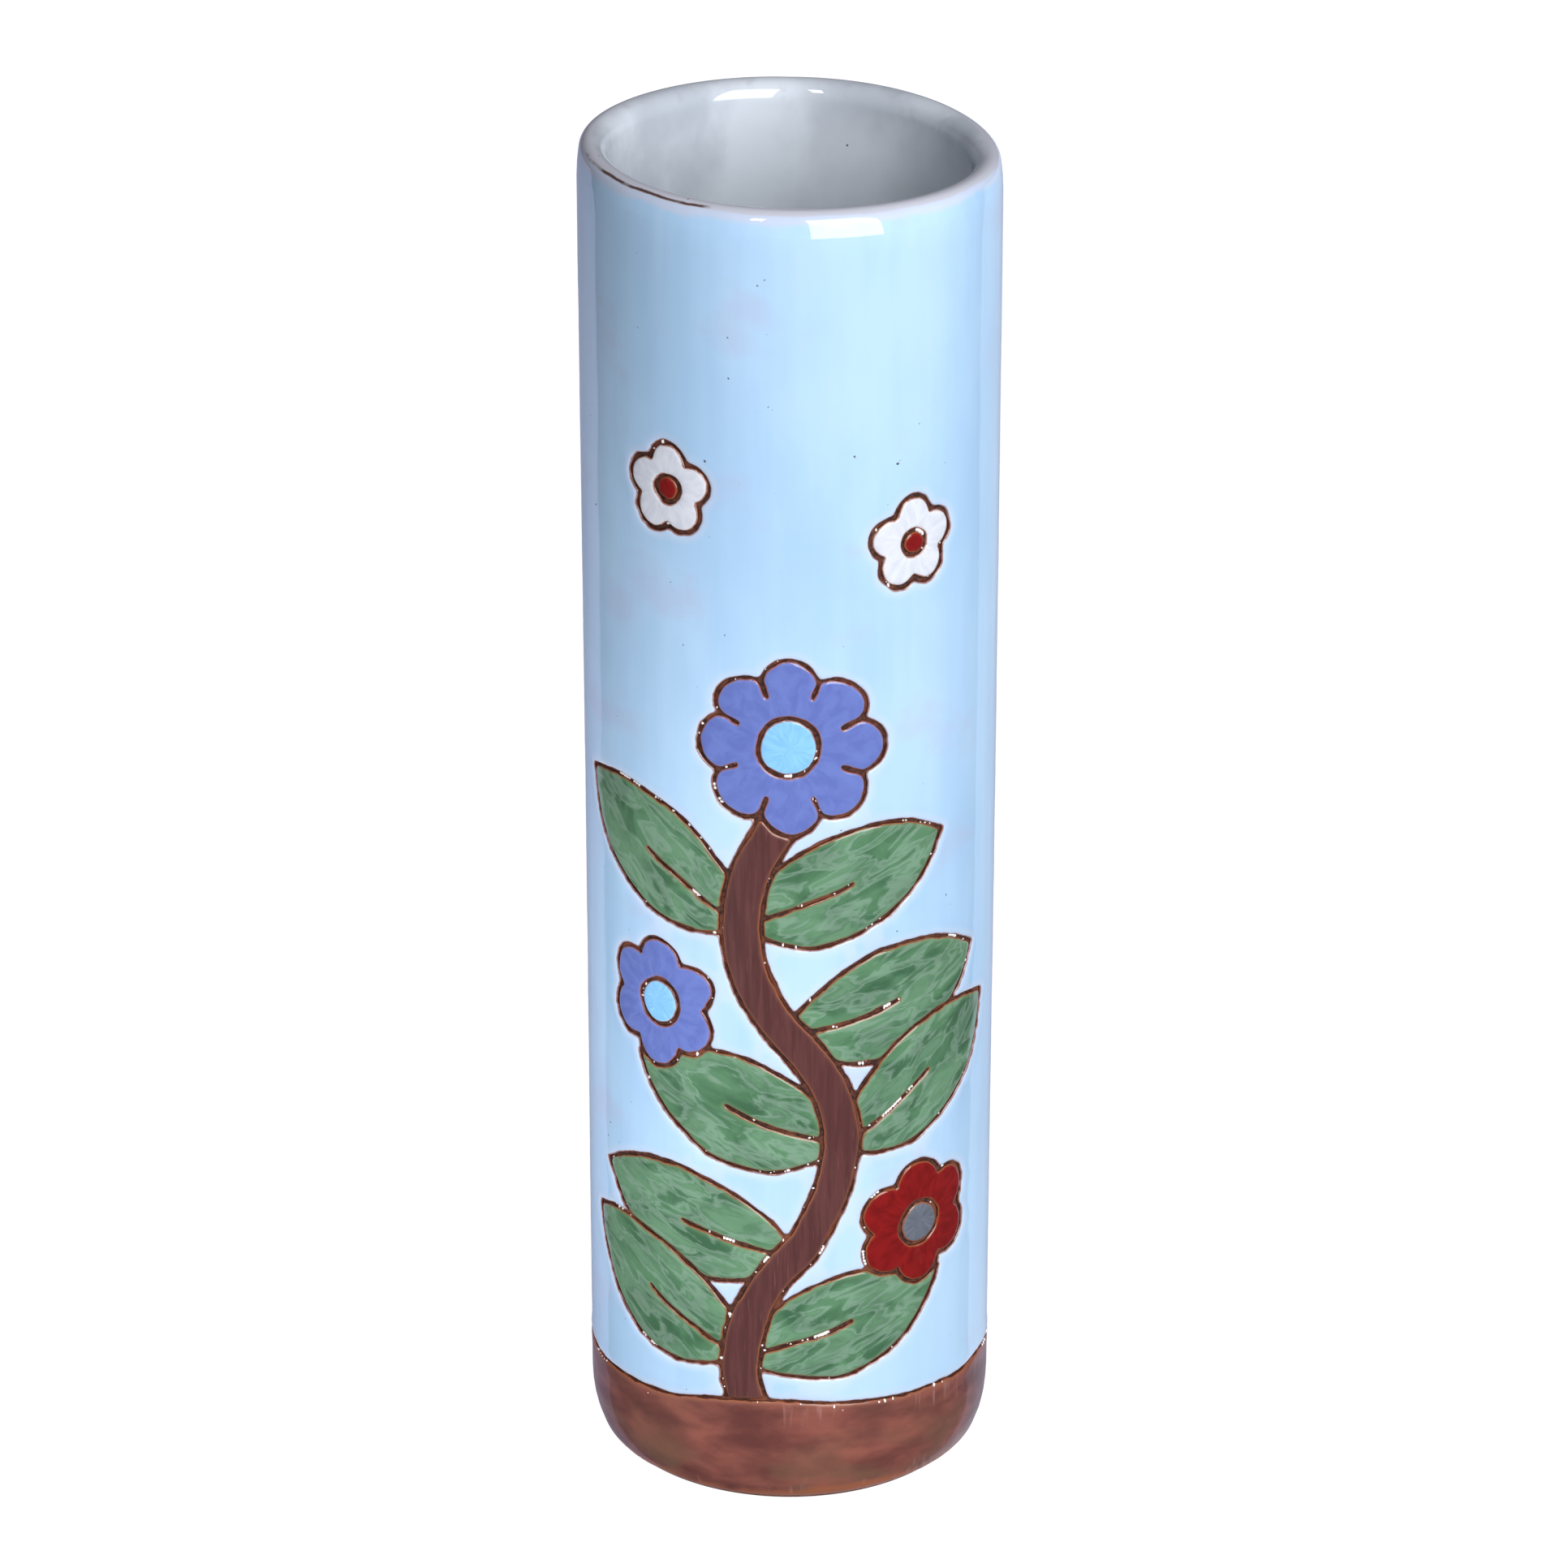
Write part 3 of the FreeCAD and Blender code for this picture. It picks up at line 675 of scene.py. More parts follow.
# %% Carry a cross-section round the axis
def carry_round(name, slot, section, turns=LIP_TURNS):
    """A closed ring, or a disc if the section begins and ends on the axis."""
    points, inward, rows = [], [], len(section(0))
    for i in range(turns):
        turn = 2 * pi * (i / turns - 0.5)
        for radius, height in section(turn):
            reach = radius + lean(turn, height) * min(1, radius / BORE)
            points.append([c * MM for c in around(turn, reach, height)])
            inward.append(COAT_OUT - radius)
    faces = []
    for i in range(turns):
        here, onward = i * rows, (i + 1) % turns * rows
        for j in range(rows):
            above = (j + 1) % rows
            faces.append((here + j, onward + j, onward + above, here + above))
    carried = {"edge_mm": np.full(len(points), 9.0), "inward_mm": np.array(inward)}
    return finish_piece(new_mesh(name, points, faces, 50, **carried), slot, name)


def between(start, end, count):
    """So many heights from start towards end in even steps, without the end."""
    return [start + (end - start) * i / count for i in range(count)]


def quarter(radius, drop, wide, tall, first, steps=7):
    """(radius, drop) round a corner of the lip, from so many degrees above the outward level on."""
    angles = [radians(first + 90 * i / steps) for i in range(steps + 1)]
    return [(radius + wide * cos(a), drop - tall * sin(a)) for a in angles]


# %% The rounded rim
OUTER_BEND, INNER_BEND, INNER_DEPTH = 1.5, 3.2, LIP_DROP - 0.7


def over_rim(depth):
    """(radius, drop) over both shoulders of the rim, at a depth below the surface of the glaze."""
    outer = quarter(COAT_OUT - OUTER_BEND, OUTER_BEND, OUTER_BEND - depth, OUTER_BEND - depth, 0)
    inner = quarter(BORE + INNER_BEND, INNER_DEPTH, INNER_BEND - depth, INNER_DEPTH - depth, 90)
    return outer + inner


def down_the_bore(turn, radius, low):
    """Down the bore from the foot of the lip, in short steps where the mouth rolls in."""
    top = rim_height(turn, radius, LIP_DROP)
    rolled = top - MOUTH_CURVE
    return [(radius, h) for h in between(top, rolled, 5) + between(rolled, low, 28)]


print("the lip covers", round(LIP_DROP, 2), "mm, the rim is", round(COAT_OUT - BORE, 2), "mm wide")

# %% The clay
COIL = CLAY_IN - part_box("seam_coil")[1].x / MM + COIL_TOP - BASE_TOP
FOOT_CURVE = foot_heights[foot_radii > CLAY_OUT - 0.001].min()


def wall_section(turn):
    """Up the outside over the curve of the foot, over the scraped rim and down the bore."""
    rim = rim_height(turn, CLAY_OUT, OUTER_BEND)
    side = [(clay_radius(h), h) for h in between(BASE_TOP, FOOT_CURVE, 5) + between(FOOT_CURVE, rim, 60)]
    top = [(radius, rim_height(turn, radius, drop)) for radius, drop in over_rim(COAT)]
    return side + top + down_the_bore(turn, CLAY_IN, BASE_TOP) + [(CLAY_IN, BASE_TOP)]


def base_section(turn):
    side = [(clay_radius(h), h) for h in [0] + between(foot_heights[1], BASE_TOP, 6) + [BASE_TOP]]
    return [(0, 0), (clay_radius(0) * 0.5, 0)] + side + [(0, BASE_TOP)]


def coil_section(turn):
    return [(CLAY_IN, BASE_TOP), (CLAY_IN, COIL_TOP), (CLAY_IN - COIL, BASE_TOP)]


wall = carry_round("clay_wall", "bare_clay", wall_section, 144)
carry_round("clay_base", "bare_clay", base_section, 144)
carry_round("seam_coil", "bare_clay", coil_section, 72)
print("coil", round(COIL, 2), "foot curve", round(FOOT_CURVE, 2), "wall faces", len(wall.data.polygons))


# %% The lining and the lip
def lining_section(turn):
    """Up against the clay and back down the bore to the middle of the floor."""
    top = rim_height(turn, BORE, LIP_DROP)
    clay_side = [(0, BASE_TOP), (CLAY_IN - COIL, BASE_TOP)]
    clay_side += [(CLAY_IN, h) for h in between(COIL_TOP, top, 12)] + [(CLAY_IN, top)]
    floor = BASE_TOP + COAT
    bore = down_the_bore(turn, BORE, COIL_TOP + 2)
    cove = [(BORE, COIL_TOP + 2), (BORE - 0.5, COIL_TOP), (CLAY_IN - COIL + 0.6, floor + 0.8)]
    return clay_side + bore + cove + [(CLAY_IN - COIL - 1.5, floor), (BORE / 2, floor), (0, floor)]


def lip_section(turn):
    """Up the outside, over both shoulders, down the bore and back along the clay."""
    shape = [(COAT_OUT, drop) for drop in between(LIP_DROP, OUTER_BEND, 4)] + over_rim(0)
    shape += [(BORE, LIP_DROP), (CLAY_IN, LIP_DROP)] + over_rim(COAT)[::-1] + [(CLAY_OUT, LIP_DROP)]
    return [(radius, rim_height(turn, radius, drop)) for radius, drop in shape]


lining = carry_round("lining_glaze", "white_glaze", lining_section)
lip = carry_round("lip_glaze", "white_glaze", lip_section)
print("lining faces", len(lining.data.polygons), "lip faces", len(lip.data.polygons))

# %% [markdown]
# ## Crumbs
#
# The needle throws up burrs of clay, which stay as dark crumbs in the line.  Drops of glaze skip the wax
# and melt to pale specks on it.  Both come in clusters, so smooth noise decides where along a line they
# lie.  They are tiny, but they tell a scratched line from a printed one.

# %% Scatter crumbs along the scratched lines
chance = random.Random(7)
SIDES = 6

# The rings of a crumb: how far out, as a share of its size, and how far up, as a share of its height.
DOME_RINGS = ((0.75, 0.72), (1.0, 0.0))
CRUMB_HEIGHT, CRUMB_SUNK = 0.55, 0.08


def crumb(at_along, at_height, size, proud):
    """A small rough dome on the surface: its points and faces."""
    squash = chance.uniform(0.6, 1.3)
    turn = chance.uniform(0, pi)
    points, faces = [on_vase(at_along, at_height, proud + CRUMB_HEIGHT * size)], []
    for out, up in DOME_RINGS:
        for i in range(SIDES):
            angle = turn + 2 * pi * i / SIDES
            reach = size * out * chance.uniform(0.8, 1.15)
            along = at_along + reach * cos(angle) * squash
            height = at_height + reach * sin(angle) / squash
            points.append(on_vase(along, height, proud + (CRUMB_HEIGHT * size * up if up else -CRUMB_SUNK)))
    for i in range(SIDES):
        here, onward = 1 + i, 1 + (i + 1) % SIDES
        faces += [(0, here, onward), (here, here + SIDES, onward + SIDES, onward)]
    return points, faces + [tuple(2 * SIDES - i for i in range(SIDES))]


def scatter(name, slot, chosen, sizes, offset, proud, seed, often, fills=2.0):
    """Crumbs along the lines, where the noise is high, in one mesh. Above fills they fill the line."""
    points, faces = [], []
    for line, period in chosen:
        for point, side in zip(line, across(line, period)):
            drift = 0.5 + 0.5 * soft(*point, 6, seed) + 0.35 * soft(*point, 2, seed + 1)
            filled = drift > fills
            if filled or chance.random() < often * max(0, drift - 0.45):
                spot = point + side * (-0.3 if filled else chance.uniform(*offset))
                size = sizes[1] if filled else chance.triangular(sizes[0], sizes[1], sizes[0])
                new_points, new_faces = crumb(*spot, size, proud)
                faces += [tuple(len(points) + i for i in face) for face in new_faces]
                points += new_points
    piece = new_mesh(name, points, faces, 75)
    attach(piece, "root")
    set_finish(piece, slot)
    print(name, len(faces) // (2 * SIDES + 1), "crumbs")
    return piece


motif_rims, ground_rim = sum(rims[:-2], []), [line for line in rims[-1] if line[1] < 0]
flecks = scatter("glaze_flecks", "white_glaze", motif_rims, (0.14, 0.36), (-0.5, 0.2), 0.1, 51, 0.4, 0.84)
ground_flecks = scatter("ground_flecks", "white_glaze", ground_rim, (0.16, 0.42), (0.1, 1.3), 0.4, 53, 2.4)
scatter("clay_burrs", "bare_clay", motif_rims, (0.12, 0.3), (-0.2, 0.4), 0.0, 61, 0.45)

# %% [markdown]
# ## Mixing a finish
#
# Every finish below is mixed from a few nodes: noise for brush marks and kiln spots, the stored distance to
# a scratched edge, and colours blended by both.  A fired glaze is a coloured layer under clear glass, so it
# gets a soft base and a sharp clear coat.  Bare clay gets neither.

# %% Tones
LINE_BROWN, LINE_EDGE = (78, 40, 28), (142, 84, 56)


def tone(red, green, blue):
    """A colour from 0 to 255, as paint charts give it, in the light values that a shader needs."""
    shares = [c / 255 for c in (red, green, blue)]
    return tuple(c / 12.92 if c <= 0.04045 else ((c + 0.055) / 1.055) ** 2.4 for c in shares) + (1.0,)


print("the brown of a line is", [round(c, 3) for c in tone(*LINE_BROWN)[:3]], "in light values")


# %% Nodes that are being linked
class Mixer:
    """A tree of nodes. Sockets are passed from one method to the next."""

    def __init__(self, tree):
        self.tree = tree

    def give(self, node, **inputs):
        """Links or sets a node's inputs, by name or, as in _0, by number. A _ in a name is a space.
        Small letters name a setting."""
        for key, given in inputs.items():
            if key[0].islower():
                setattr(node, key, given)
                continue
            socket = node.inputs[int(key[1:])] if key[0] == "_" else node.inputs[key.replace("_", " ")]
            if isinstance(given, bpy.types.NodeSocket):
                self.tree.links.new(given, socket)
            else:
                socket.default_value = given

    def node(self, kind, output=0, **inputs):
        """The output of a new node."""
        new = self.tree.nodes.new("ShaderNode" + kind)
        self.give(new, **inputs)
        return new.outputs[output]

    def stored(self, name):
        """A value that the mesh's points carry."""
        return self.node("Attribute", "Vector" if name == "brush" else "Fac", attribute_name=name)

    def place(self, stretch=(1, 1, 1)):
        """The place in millimetres, divided by a stretch in each direction."""
        return self.scaled(self.node("TexCoord", "Object"), (1 / (MM * s) for s in stretch))

    def scaled(self, where, shares):
        """A place with each of its parts multiplied by a share."""
        return self.node("VectorMath", operation="MULTIPLY", _0=where, _1=tuple(shares))

    def part(self, axis, where=None):
        """X, Y or Z of a place; of the place in millimetres if none is given."""
        return self.node("SeparateXYZ", axis, Vector=where or self.place())

    def clouds(self, where, detail, warp):
        return self.node("TexNoise", "Fac", Vector=where, Scale=1.0, Detail=detail, Distortion=warp)

    def noise(self, wide, tall, detail, warp=0.0):
        """Noise in clouds about so many millimetres wide and tall."""
        return self.clouds(self.place((wide, wide, tall)), detail, warp)

    def strokes(self, wide, long, detail, warp=0.0):
        """Noise drawn out along the way the brush ran."""
        return self.clouds(self.scaled(self.stored("brush"), (1 / wide, 1 / long, 1)), detail, warp)

    def math(self, operation, a, b=0.0):
        return self.node("Math", operation=operation, _0=a, _1=b)

    def plus(self, a, b):
        return self.math("ADD", a, b)

    def times(self, a, b):
        return self.math("MULTIPLY", a, b)

    def fade(self, value, low, high):
        """0 below low, 1 above high, smooth between; the other way round if low is greater."""
        top = float(high > low)
        ends = {"_1": min(low, high), "_2": max(low, high), "_3": 1 - top, "_4": top}
        return self.node("MapRange", interpolation_type="SMOOTHSTEP", _0=value, **ends)

    def blend(self, share, a, b):
        """Colour a where share is 0 and b where it is 1."""
        return self.node("Mix", 2, data_type="RGBA", _0=share, _6=a, _7=b)

    def shade(self, value, low, high, a, b):
        """Tone a where the value is below low, tone b where it is above high."""
        return self.blend(self.fade(value, low, high), tone(*a), tone(*b))

    def tint(self, colour, other, share, value, low, high):
        """The colour turned to another tone by a share, where the value fades in from low to high."""
        return self.blend(self.times(self.fade(value, low, high), share), colour, tone(*other))


print("a mixer knows", [name for name in vars(Mixer) if name[0] != "_"])


# %% A finish, and its scratched edge
class Finish(Mixer):
    """A material that is being mixed."""

    def __init__(self, name, roughness, coat):
        self.material = bpy.data.materials.new(name)
        self.material.use_nodes = True
        super().__init__(self.material.node_tree)
        self.shader = self.tree.nodes["Principled BSDF"]
        self.set(Roughness=roughness, Specular_IOR_Level=0.5 * (1 - coat))
        self.set(Coat_Weight=coat, Coat_Roughness=0.02, Coat_IOR=1.5)

    def set(self, **inputs):
        """Fills the shader's inputs and returns the material."""
        self.give(self.shader, **inputs)
        return self.material

    def done(self, colour, relief, depth, **inputs):
        """The material with its colour, and a relief so many millimetres deep."""
        bump = self.node("Bump", Height=relief, Distance=depth * MM, Strength=1.0)
        print(self.material.name, "is mixed from", len(self.tree.nodes), "nodes")
        return self.set(Base_Color=colour, Normal=bump, Coat_Normal=bump, **inputs)


def edged(mix, colour, halo, halo_width, strength):
    """The colour with a scratched edge: a pale halo where the glaze draws back, and brown clay showing
    through where it thins out at the rim."""
    gap = mix.stored("edge_mm")
    patches = mix.noise(2.2, 2.2, 4)
    thin = mix.math("SUBTRACT", gap, mix.times(mix.plus(patches, -0.35), 0.7))
    colour = mix.tint(colour, halo, strength, gap, halo_width, 0.2)
    colour = mix.tint(colour, LINE_EDGE, 0.85, thin, 0.3, 0.1)
    return mix.blend(mix.fade(thin, 0.04, -0.08), colour, tone(*LINE_BROWN))


print("a finish also knows", [name for name in vars(Finish) if name[0] != "_"])

# %% [markdown]
# ## The sky and the white glaze
#
# The sky is a milky blue glaze poured down the wall, so its streaks are upright and faint.  It pales to a
# pinkish white around the drawing, where it has drawn back from the wax, and below the lip, where it meets
# the white glaze that lines the vase.  Iron in the clay leaves a few dark pinholes in the white.

# %% The white and the lip
finishes = {}
LIP_GREY, WORN_BROWN, VERGE_PINK = (188, 191, 203), (84, 62, 58), (206, 200, 214)


def iron_spots(mix, colour):
    """A few dark pinholes where iron in the clay has burst through."""
    return mix.tint(colour, (64, 46, 42), 0.85, mix.noise(1.2, 1.2, 1), 0.80, 0.83)


def lining_with_painted_shading(mix):
    """White clouded with grey, with painted light on the right of the bore, where the window leaves it in
    shade, and painted shade deeper down.
    """
    colour = mix.shade(mix.noise(14, 20, 4), 0.35, 0.7, (173, 181, 191), (200, 208, 217))
    drop = mix.stored("drop_mm")
    # Painted light: the right side of the bore, in shade from the window, is lifted towards a clean white.
    painted_fill = mix.times(mix.fade(mix.part("X"), -4, 14), mix.fade(drop, 2, 14))
    colour = mix.blend(mix.times(painted_fill, 0.6), colour, tone(226, 232, 239))
    # Painted shade: the white turns greyer further down the bore, where less light reaches.
    return mix.tint(colour, (146, 154, 164), 0.34, drop, 2, 34)


def with_lip(mix, colour):
    """The colour with the lip's: a pinkish verge where the glazes meet, the grey rim, a worn brown line
    along its outer edge, and the white of the lining on its inner side."""
    drop, back = mix.stored("drop_mm"), mix.part("Y")
    ragged = mix.plus(mix.noise(7, 4, 4), -0.5)
    colour = mix.tint(colour, VERGE_PINK, 0.5, mix.plus(drop, mix.times(ragged, 2.6)), 2.5, 1.3)
    fine = mix.plus(drop, mix.times(ragged, 0.6))
    colour = mix.tint(colour, LIP_GREY, 1.0, fine, 0.8, 0.45)
    turn = mix.math("ARCTAN2", mix.part("X"), mix.times(back, -1))
    left_front = mix.fade(mix.math("ABSOLUTE", mix.plus(turn, 0.92)), 0.66, 0.32)
    worn = mix.plus(mix.noise(6, 6, 6), mix.times(left_front, 0.4))
    line = mix.times(mix.fade(fine, 0.14, 0.28), mix.fade(fine, 0.6, 0.44))
    colour = mix.tint(colour, WORN_BROWN, line, worn, 0.66, 0.9)
    inner = mix.tint(lining_with_painted_shading(mix), (140, 128, 132), 0.2, mix.noise(4, 4, 5), 0.56, 0.72)
    inward = mix.plus(mix.stored("inward_mm"), mix.times(back, 0.02))
    return iron_spots(mix, mix.blend(mix.fade(inward, 1.7, 2.5), colour, inner))


print("the rim's grey is", LIP_GREY, "and its worn line", WORN_BROWN)

# %% Sky: milky blue in upright streaks, with a faint blush here and there
mix = Finish("sky glaze", 0.28, 1.0)
broad = mix.times(mix.noise(26, 70, 2), 0.9)
streaks = mix.times(mix.noise(3.2, 55, 4, 0.3), 0.22)
clouds = mix.times(mix.noise(9, 16, 4), 0.25)
mixed = mix.plus(mix.plus(broad, streaks), clouds)
colour = mix.shade(mixed, 0.49, 0.89, (162, 197, 229), (177, 209, 238))
colour = mix.tint(colour, (178, 178, 208), 0.3, mix.noise(19, 13, 4), 0.56, 0.74)
colour = edged(mix, colour, (210, 212, 232), 2.2, 0.38)
finishes["sky_glaze"] = mix.done(with_lip(mix, colour), mix.noise(9, 12, 1), 0.07)

# %% White: the lining, with the ripple of a poured glaze, painted shade down the bore and painted light on its right side
mix = Finish("white glaze", 0.25, 1.0)
colour = iron_spots(mix, lining_with_painted_shading(mix))
finishes["white_glaze"] = mix.done(colour, mix.noise(7, 7, 2), 0.18)

# %% Specks: the white that melts on the lines, cleaner than the lining
mix = Finish("white specks", 0.2, 1.0)
speck_white = mix.blend(mix.noise(2, 2, 2), tone(228, 224, 222), tone(246, 244, 244))
speck_finish = mix.set(Base_Color=speck_white)
print(speck_finish.name, "are mixed from", len(mix.tree.nodes), "nodes")

# %% [markdown]
# ## The colours of the drawing
#
# The green is brushed on in several thin coats, and each lap shows as a paler wavy streak.  The umber of the
# stem is one heavier coat with upright strokes.  The ground is a thin iron wash, the least glossy of all,
# and lets the clay's own mottling through.  The small colours are opaque and even.

# %% Green: thin coats, with veins where the noise of the laps passes its middle
mix = Finish("brushed green glaze", 0.3, 0.9)
laps = mix.strokes(3.0, 9.0, 4, 0.8)
ridge = mix.math("ABSOLUTE", mix.plus(laps, -0.5))
colour = mix.shade(mix.strokes(6, 11, 4, 0.8), 0.34, 0.66, (60, 97, 70), (87, 128, 96))
colour = mix.tint(colour, (109, 147, 118), 0.6, laps, 0.5, 0.66)
colour = mix.tint(colour, (166, 192, 178), 0.27, ridge, 0.085, 0.0)
colour = edged(mix, colour, (112, 142, 106), 1.2, 0.4)
finishes["green_glaze"] = mix.done(colour, laps, 0.06)

# %% Umber: dark brown with fine upright strokes
mix = Finish("umber glaze", 0.33, 0.7)
strokes = mix.strokes(1.1, 14, 5, 0.5)
colour = mix.shade(strokes, 0.3, 0.7, (79, 46, 46), (93, 56, 55))
colour = mix.tint(colour, (140, 104, 98), 0.25, mix.strokes(0.5, 9, 3), 0.6, 0.75)
colour = edged(mix, colour, (120, 80, 66), 0.9, 0.4)
finishes["umber_glaze"] = mix.done(colour, strokes, 0.03)

# %% Earth: a mottled wash, olive low down, pale drags under the line, bare clay at the very foot
mix = Finish("earth wash", 0.42, 0.35)
mottle = mix.noise(13, 6, 5, 0.2)
colour = mix.shade(mottle, 0.3, 0.7, (94, 50, 46), (142, 84, 72))
height = mix.part("Z")
low = mix.fade(height, BAND_TOP - 4, BAND_FOOT + 3)
olive = mix.plus(mix.times(low, 0.55), 0.15)
colour = mix.tint(colour, (104, 80, 62), olive, mix.noise(16, 7, 4), 0.44, 0.66)
places = mix.fade(mix.noise(11, 40, 1), 0.5, 0.62)
drags = mix.times(mix.fade(mix.noise(1.1, 9, 4), 0.5, 0.72), places)
colour = mix.tint(colour, (150, 108, 102), drags, mix.stored("edge_mm"), 6, 1)
bare = mix.plus(height, mix.times(mottle, -4.5))
colour = mix.tint(colour, (168, 98, 60), 0.7, bare, BAND_FOOT - 0.4, BAND_FOOT - 2.0)
colour = edged(mix, colour, (140, 86, 66), 1.2, 0.45)
roughness = mix.plus(mix.times(mix.fade(mottle, 0.9, 0.2), 0.25), 0.28)
finishes["earth_glaze"] = mix.done(colour, mottle, 0.08, Roughness=roughness)

# %% The small even colours, each as its light tone, its dark tone and the halo at its edge
OPAQUE = {
    "periwinkle": ((104, 121, 188), (94, 109, 177), (132, 140, 196)),
    "turquoise": ((138, 195, 240), (121, 180, 228), (168, 206, 236)),
    "red": ((131, 25, 25), (109, 19, 19), (136, 46, 36)),
    "grey": ((106, 112, 124), (90, 96, 108), (120, 114, 108)),
    "blossom_white": ((215, 220, 230), (202, 207, 219), (218, 208, 210)),
}
for name, (light, dark, halo) in OPAQUE.items():
    mix = Finish(f"{name.replace('_', ' ')} glaze", 0.28, 1.0)
    strokes = mix.strokes(1.6, 3.5, 4, 0.6)
    colour = edged(mix, mix.shade(strokes, 0.3, 0.7, dark, light), halo, 0.8, 0.4)
    finishes[f"{name}_glaze"] = mix.done(colour, strokes, 0.04)

# %% [markdown]
# ## Bare clay
#
# The body is an orange-red earthenware.  It shows at the very foot, where glaze would stick to the kiln
# shelf, and in each scratched line, where the wax and iron pencilled into it burn to a dark brown.

# %% Clay: orange-red at the foot, and burnt dark in the lines above it
mix = Finish("red earthenware", 0.85, 0.0)
grain = mix.noise(0.8, 0.8, 6)
colour = mix.shade(grain, 0.3, 0.7, (156, 92, 62), (188, 120, 84))
line = mix.shade(grain, 0.35, 0.65, (46, 24, 19), (92, 50, 36))
line = mix.tint(line, (128, 70, 46), 0.7, mix.noise(6, 6, 3), 0.52, 0.66)
colour = mix.blend(mix.fade(mix.part("Z"), BAND_FOOT + 3, BAND_TOP - 8), colour, line)
finishes["bare_clay"] = mix.done(colour, grain, 0.12)

# %% Put the finishes on
pieces = [o for o in scene.objects if o.type == "MESH" and "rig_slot" in o]
for piece in pieces:
    piece.data.materials.clear()
    piece.data.materials.append(finishes[piece["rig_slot"]])
lip.data.materials[0] = finishes["sky_glaze"]
for specks in (flecks, ground_flecks):
    specks.data.materials[0] = speck_finish
triangles = sum(len(p.vertices) - 2 for piece in pieces for p in piece.data.polygons)
print("finished", len(pieces), "pieces with", triangles, "triangles for", len(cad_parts), "CAD pieces")

# %% [markdown]
# ## Floor, light and camera
#
# The vase stands on pale paper in a dim grey room.  A tall window on the right in front gives the broad glint
# below the lip and shades the left side, and a small ceiling lamp on the left adds a few points of light.
# A soft round light stands in for the light that the paper throws up.  Three pale cards fill in: a small one
# close to the foot on the left, and large ones on the right and at the back.  Behind the vase hangs a pale
# backdrop, which only its glossy edges reflect.  The camera looks down through a long lens, so the sides
# stay nearly parallel.

# %% Floor
FLOOR_HALF = 3.0
floor_mesh = bpy.data.meshes.new("floor")
reach = (-FLOOR_HALF, FLOOR_HALF)
floor_mesh.from_pydata([(x, y, 0) for y in reach for x in reach], [], [(0, 1, 3, 2)])
floor = put("floor", floor_mesh)
floor.visible_diffuse = False
floor.visible_glossy = False
paper = Finish("pale paper", 0.9, 0.0)
paper.set(Specular_IOR_Level=0.0, Emission_Color=(1.0, 1.0, 1.0, 1.0), Emission_Strength=0.94)
fibre = paper.noise(140, 140, 2)
paper_colour = paper.blend(fibre, tone(112, 112, 114), tone(118, 118, 118))
floor_mesh.materials.append(paper.set(Base_Color=paper_colour))
print("the floor is", 2 * FLOOR_HALF, "m wide")

# %% A dim room with a pale backdrop behind the vase, from 49 degrees left to 52 degrees right
ROOM_GREY = (0.09, 0.083, 0.098, 1.0)
BACKDROP_LEFT, BACKDROP_MIDDLE = (0.54, 0.52, 0.74, 1.0), (0.34, 0.36, 0.50, 1.0)
BACKDROP_RIGHT = (0.62, 0.70, 0.88, 1.0)
world = bpy.data.worlds.new("room")
world.use_nodes = True
room = Mixer(world.node_tree)
where = room.node("TexCoord", "Generated")
aside = room.math("ARCTAN2", room.part("X", where), room.part("Y", where))
edges = room.times(room.fade(aside, radians(-50), radians(-48)), room.fade(aside, 0.93, 0.89))
low = room.fade(room.part("Z", where), 0.02, -0.08)
backdrop = room.blend(room.fade(aside, -0.85, -0.3), BACKDROP_LEFT, BACKDROP_MIDDLE)
backdrop = room.blend(room.fade(aside, -0.1, 0.6), backdrop, BACKDROP_RIGHT)
colour = room.blend(room.times(edges, low), ROOM_GREY, backdrop)
room.give(room.tree.nodes["Background"], Color=colour, Strength=1.0)
scene.world = world
print("the room has", len(world.node_tree.nodes), "nodes")

# %% Lamp, window and cards
AIM = SKY_TOP * MM * 0.8
LAMP_TURN, LAMP_TILT = radians(-18), radians(48)
WINDOW_SILL, WINDOW_TOP = 0.31, 2.05


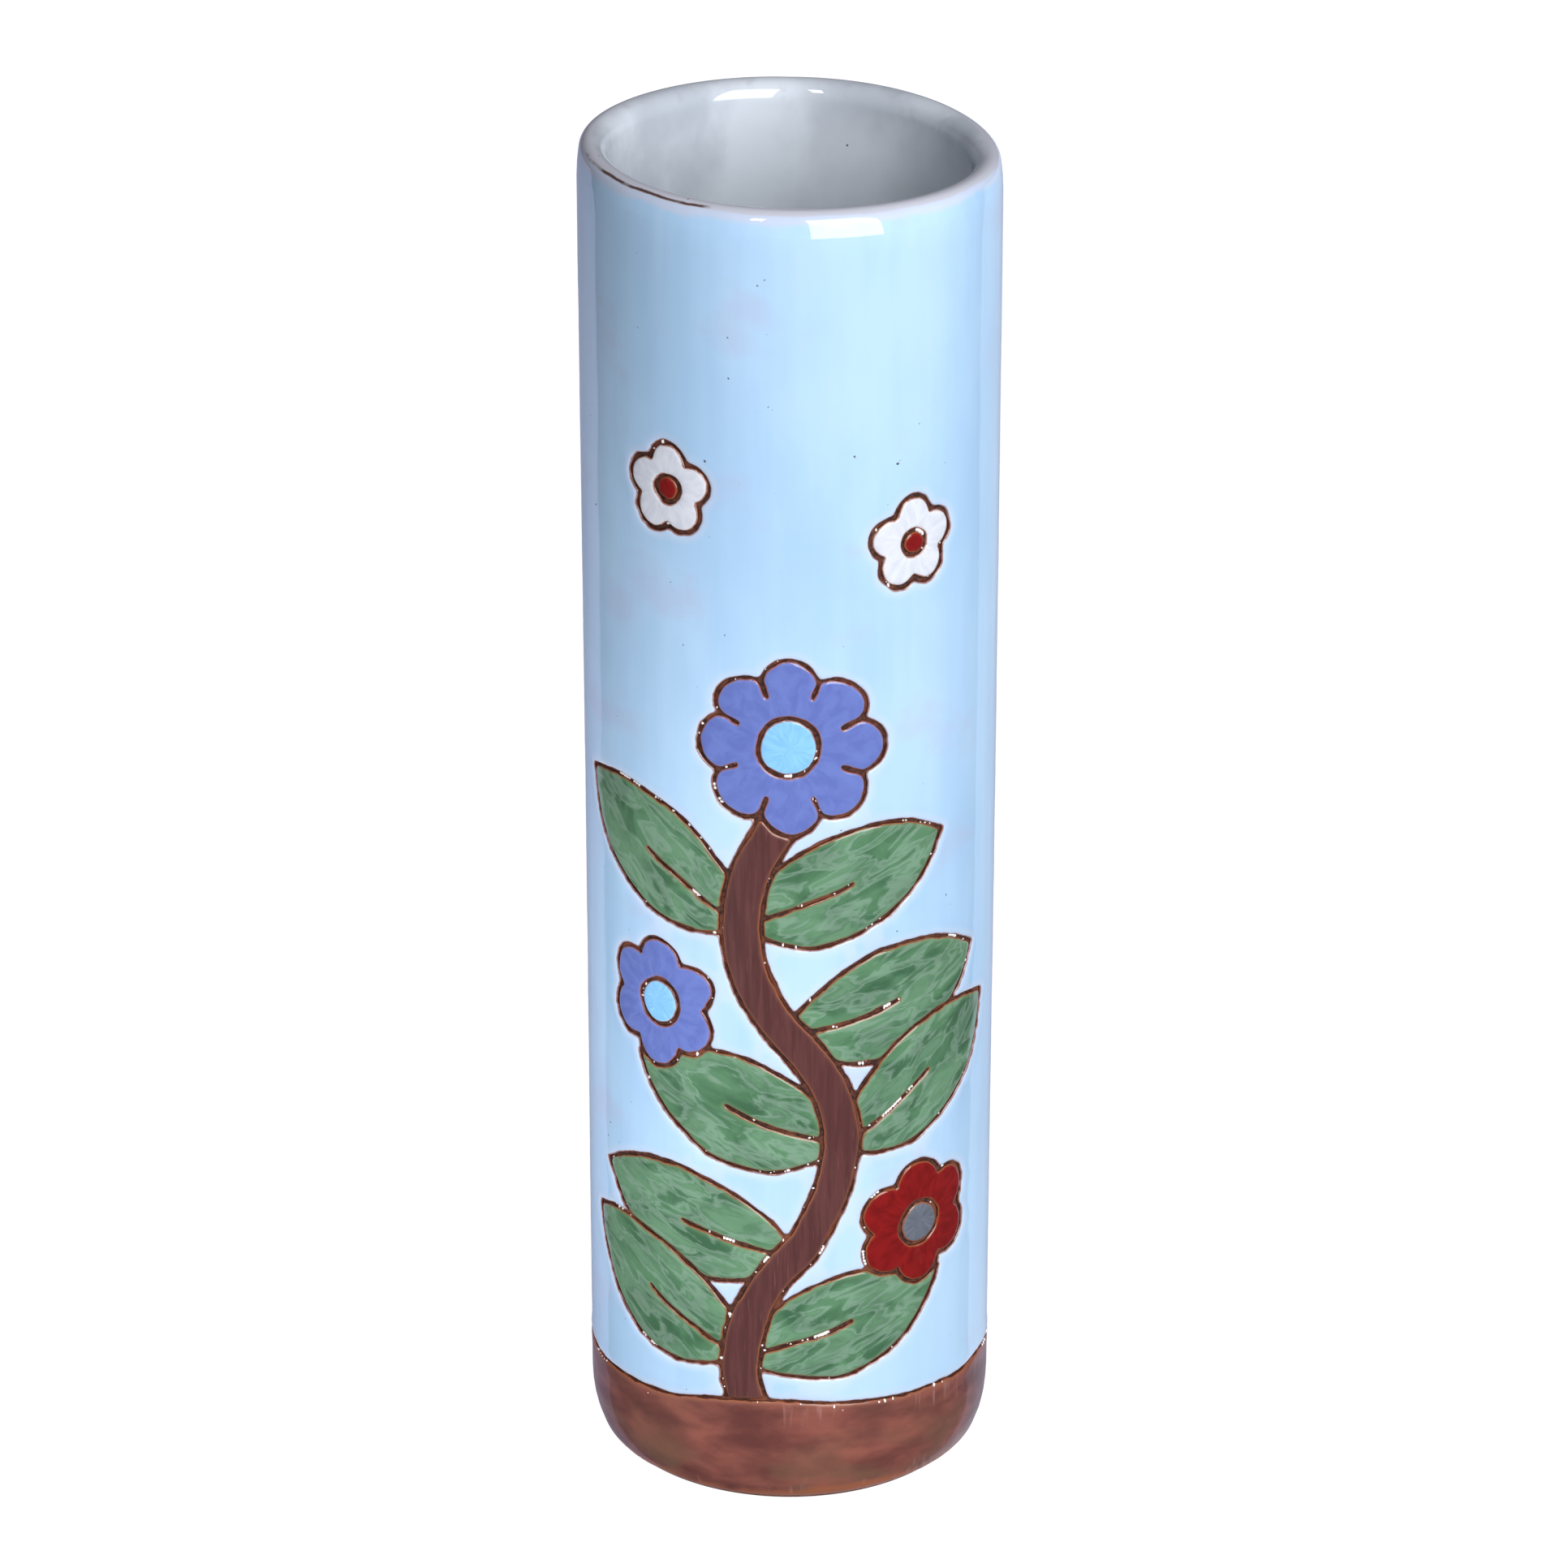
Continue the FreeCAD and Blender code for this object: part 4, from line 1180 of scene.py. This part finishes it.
def soft_light(name, width, height, power, shape="RECTANGLE"):
    """An area light that the camera doesn't see."""
    data = bpy.data.lights.new(name, "AREA")
    data.shape = shape
    data.size, data.size_y, data.energy = width, height, power
    light = put(name, data)
    light.visible_camera = False
    return light


def stand(light, azimuth, distance, height):
    """Stands a light upright facing the vase; azimuth counts to the right from the front."""
    light.location = around(radians(azimuth), distance, height)
    light.rotation_euler = (pi / 2, 0, radians(azimuth))
    return light


lamp = soft_light("ceiling_lamp", 0.12, 0.36, 2.1)
to_lamp = Vector(around(LAMP_TURN, cos(LAMP_TILT), sin(LAMP_TILT)))
lamp.location = Vector((0, 0, AIM)) + to_lamp * 1.2
lamp.rotation_euler = to_lamp.to_track_quat("Z", "Y").to_euler()
glow = soft_light("paper_glow", 0.9, 0.9, 0.8, "DISK")
glow.location = (-0.13, -0.05, 0.0006)
glow.rotation_euler = (pi, 0, 0)
cards = [
    stand(soft_light("left_card", 0.2, 0.12, 0.19), azimuth=-50, distance=0.16, height=0.072),
    stand(soft_light("right_card", 0.9, 0.9, 4.5), azimuth=78, distance=1.5, height=0.30),
    stand(soft_light("back_card", 0.9, 0.9, 5.0), azimuth=180, distance=1.5, height=0.40),
]
for light in [glow, *cards]:
    light.visible_glossy = False
window = soft_light("window", 0.9, WINDOW_TOP - WINDOW_SILL, 38.5)
stand(window, azimuth=31, distance=1.3, height=(WINDOW_TOP + WINDOW_SILL) / 2)
scene.view_settings.view_transform = "Standard"

# %% Camera
CAMERA_AT, CAMERA_TILT = (-0.00108, -1.0860, 0.6202), radians(24.35)
LENS, SENSOR = 151.83, 36.0
camera_data = bpy.data.cameras.new("camera")
camera_data.lens, camera_data.sensor_width = LENS, SENSOR
camera = put("camera", camera_data)
camera.location = CAMERA_AT
camera.rotation_euler = (pi / 2 - CAMERA_TILT, 0, 0)
scene.camera = camera
print("the camera is", round(camera.location.length, 2), "m away")

# %% [markdown]
# ## The size
#
# The vase must stay within the frame's size.
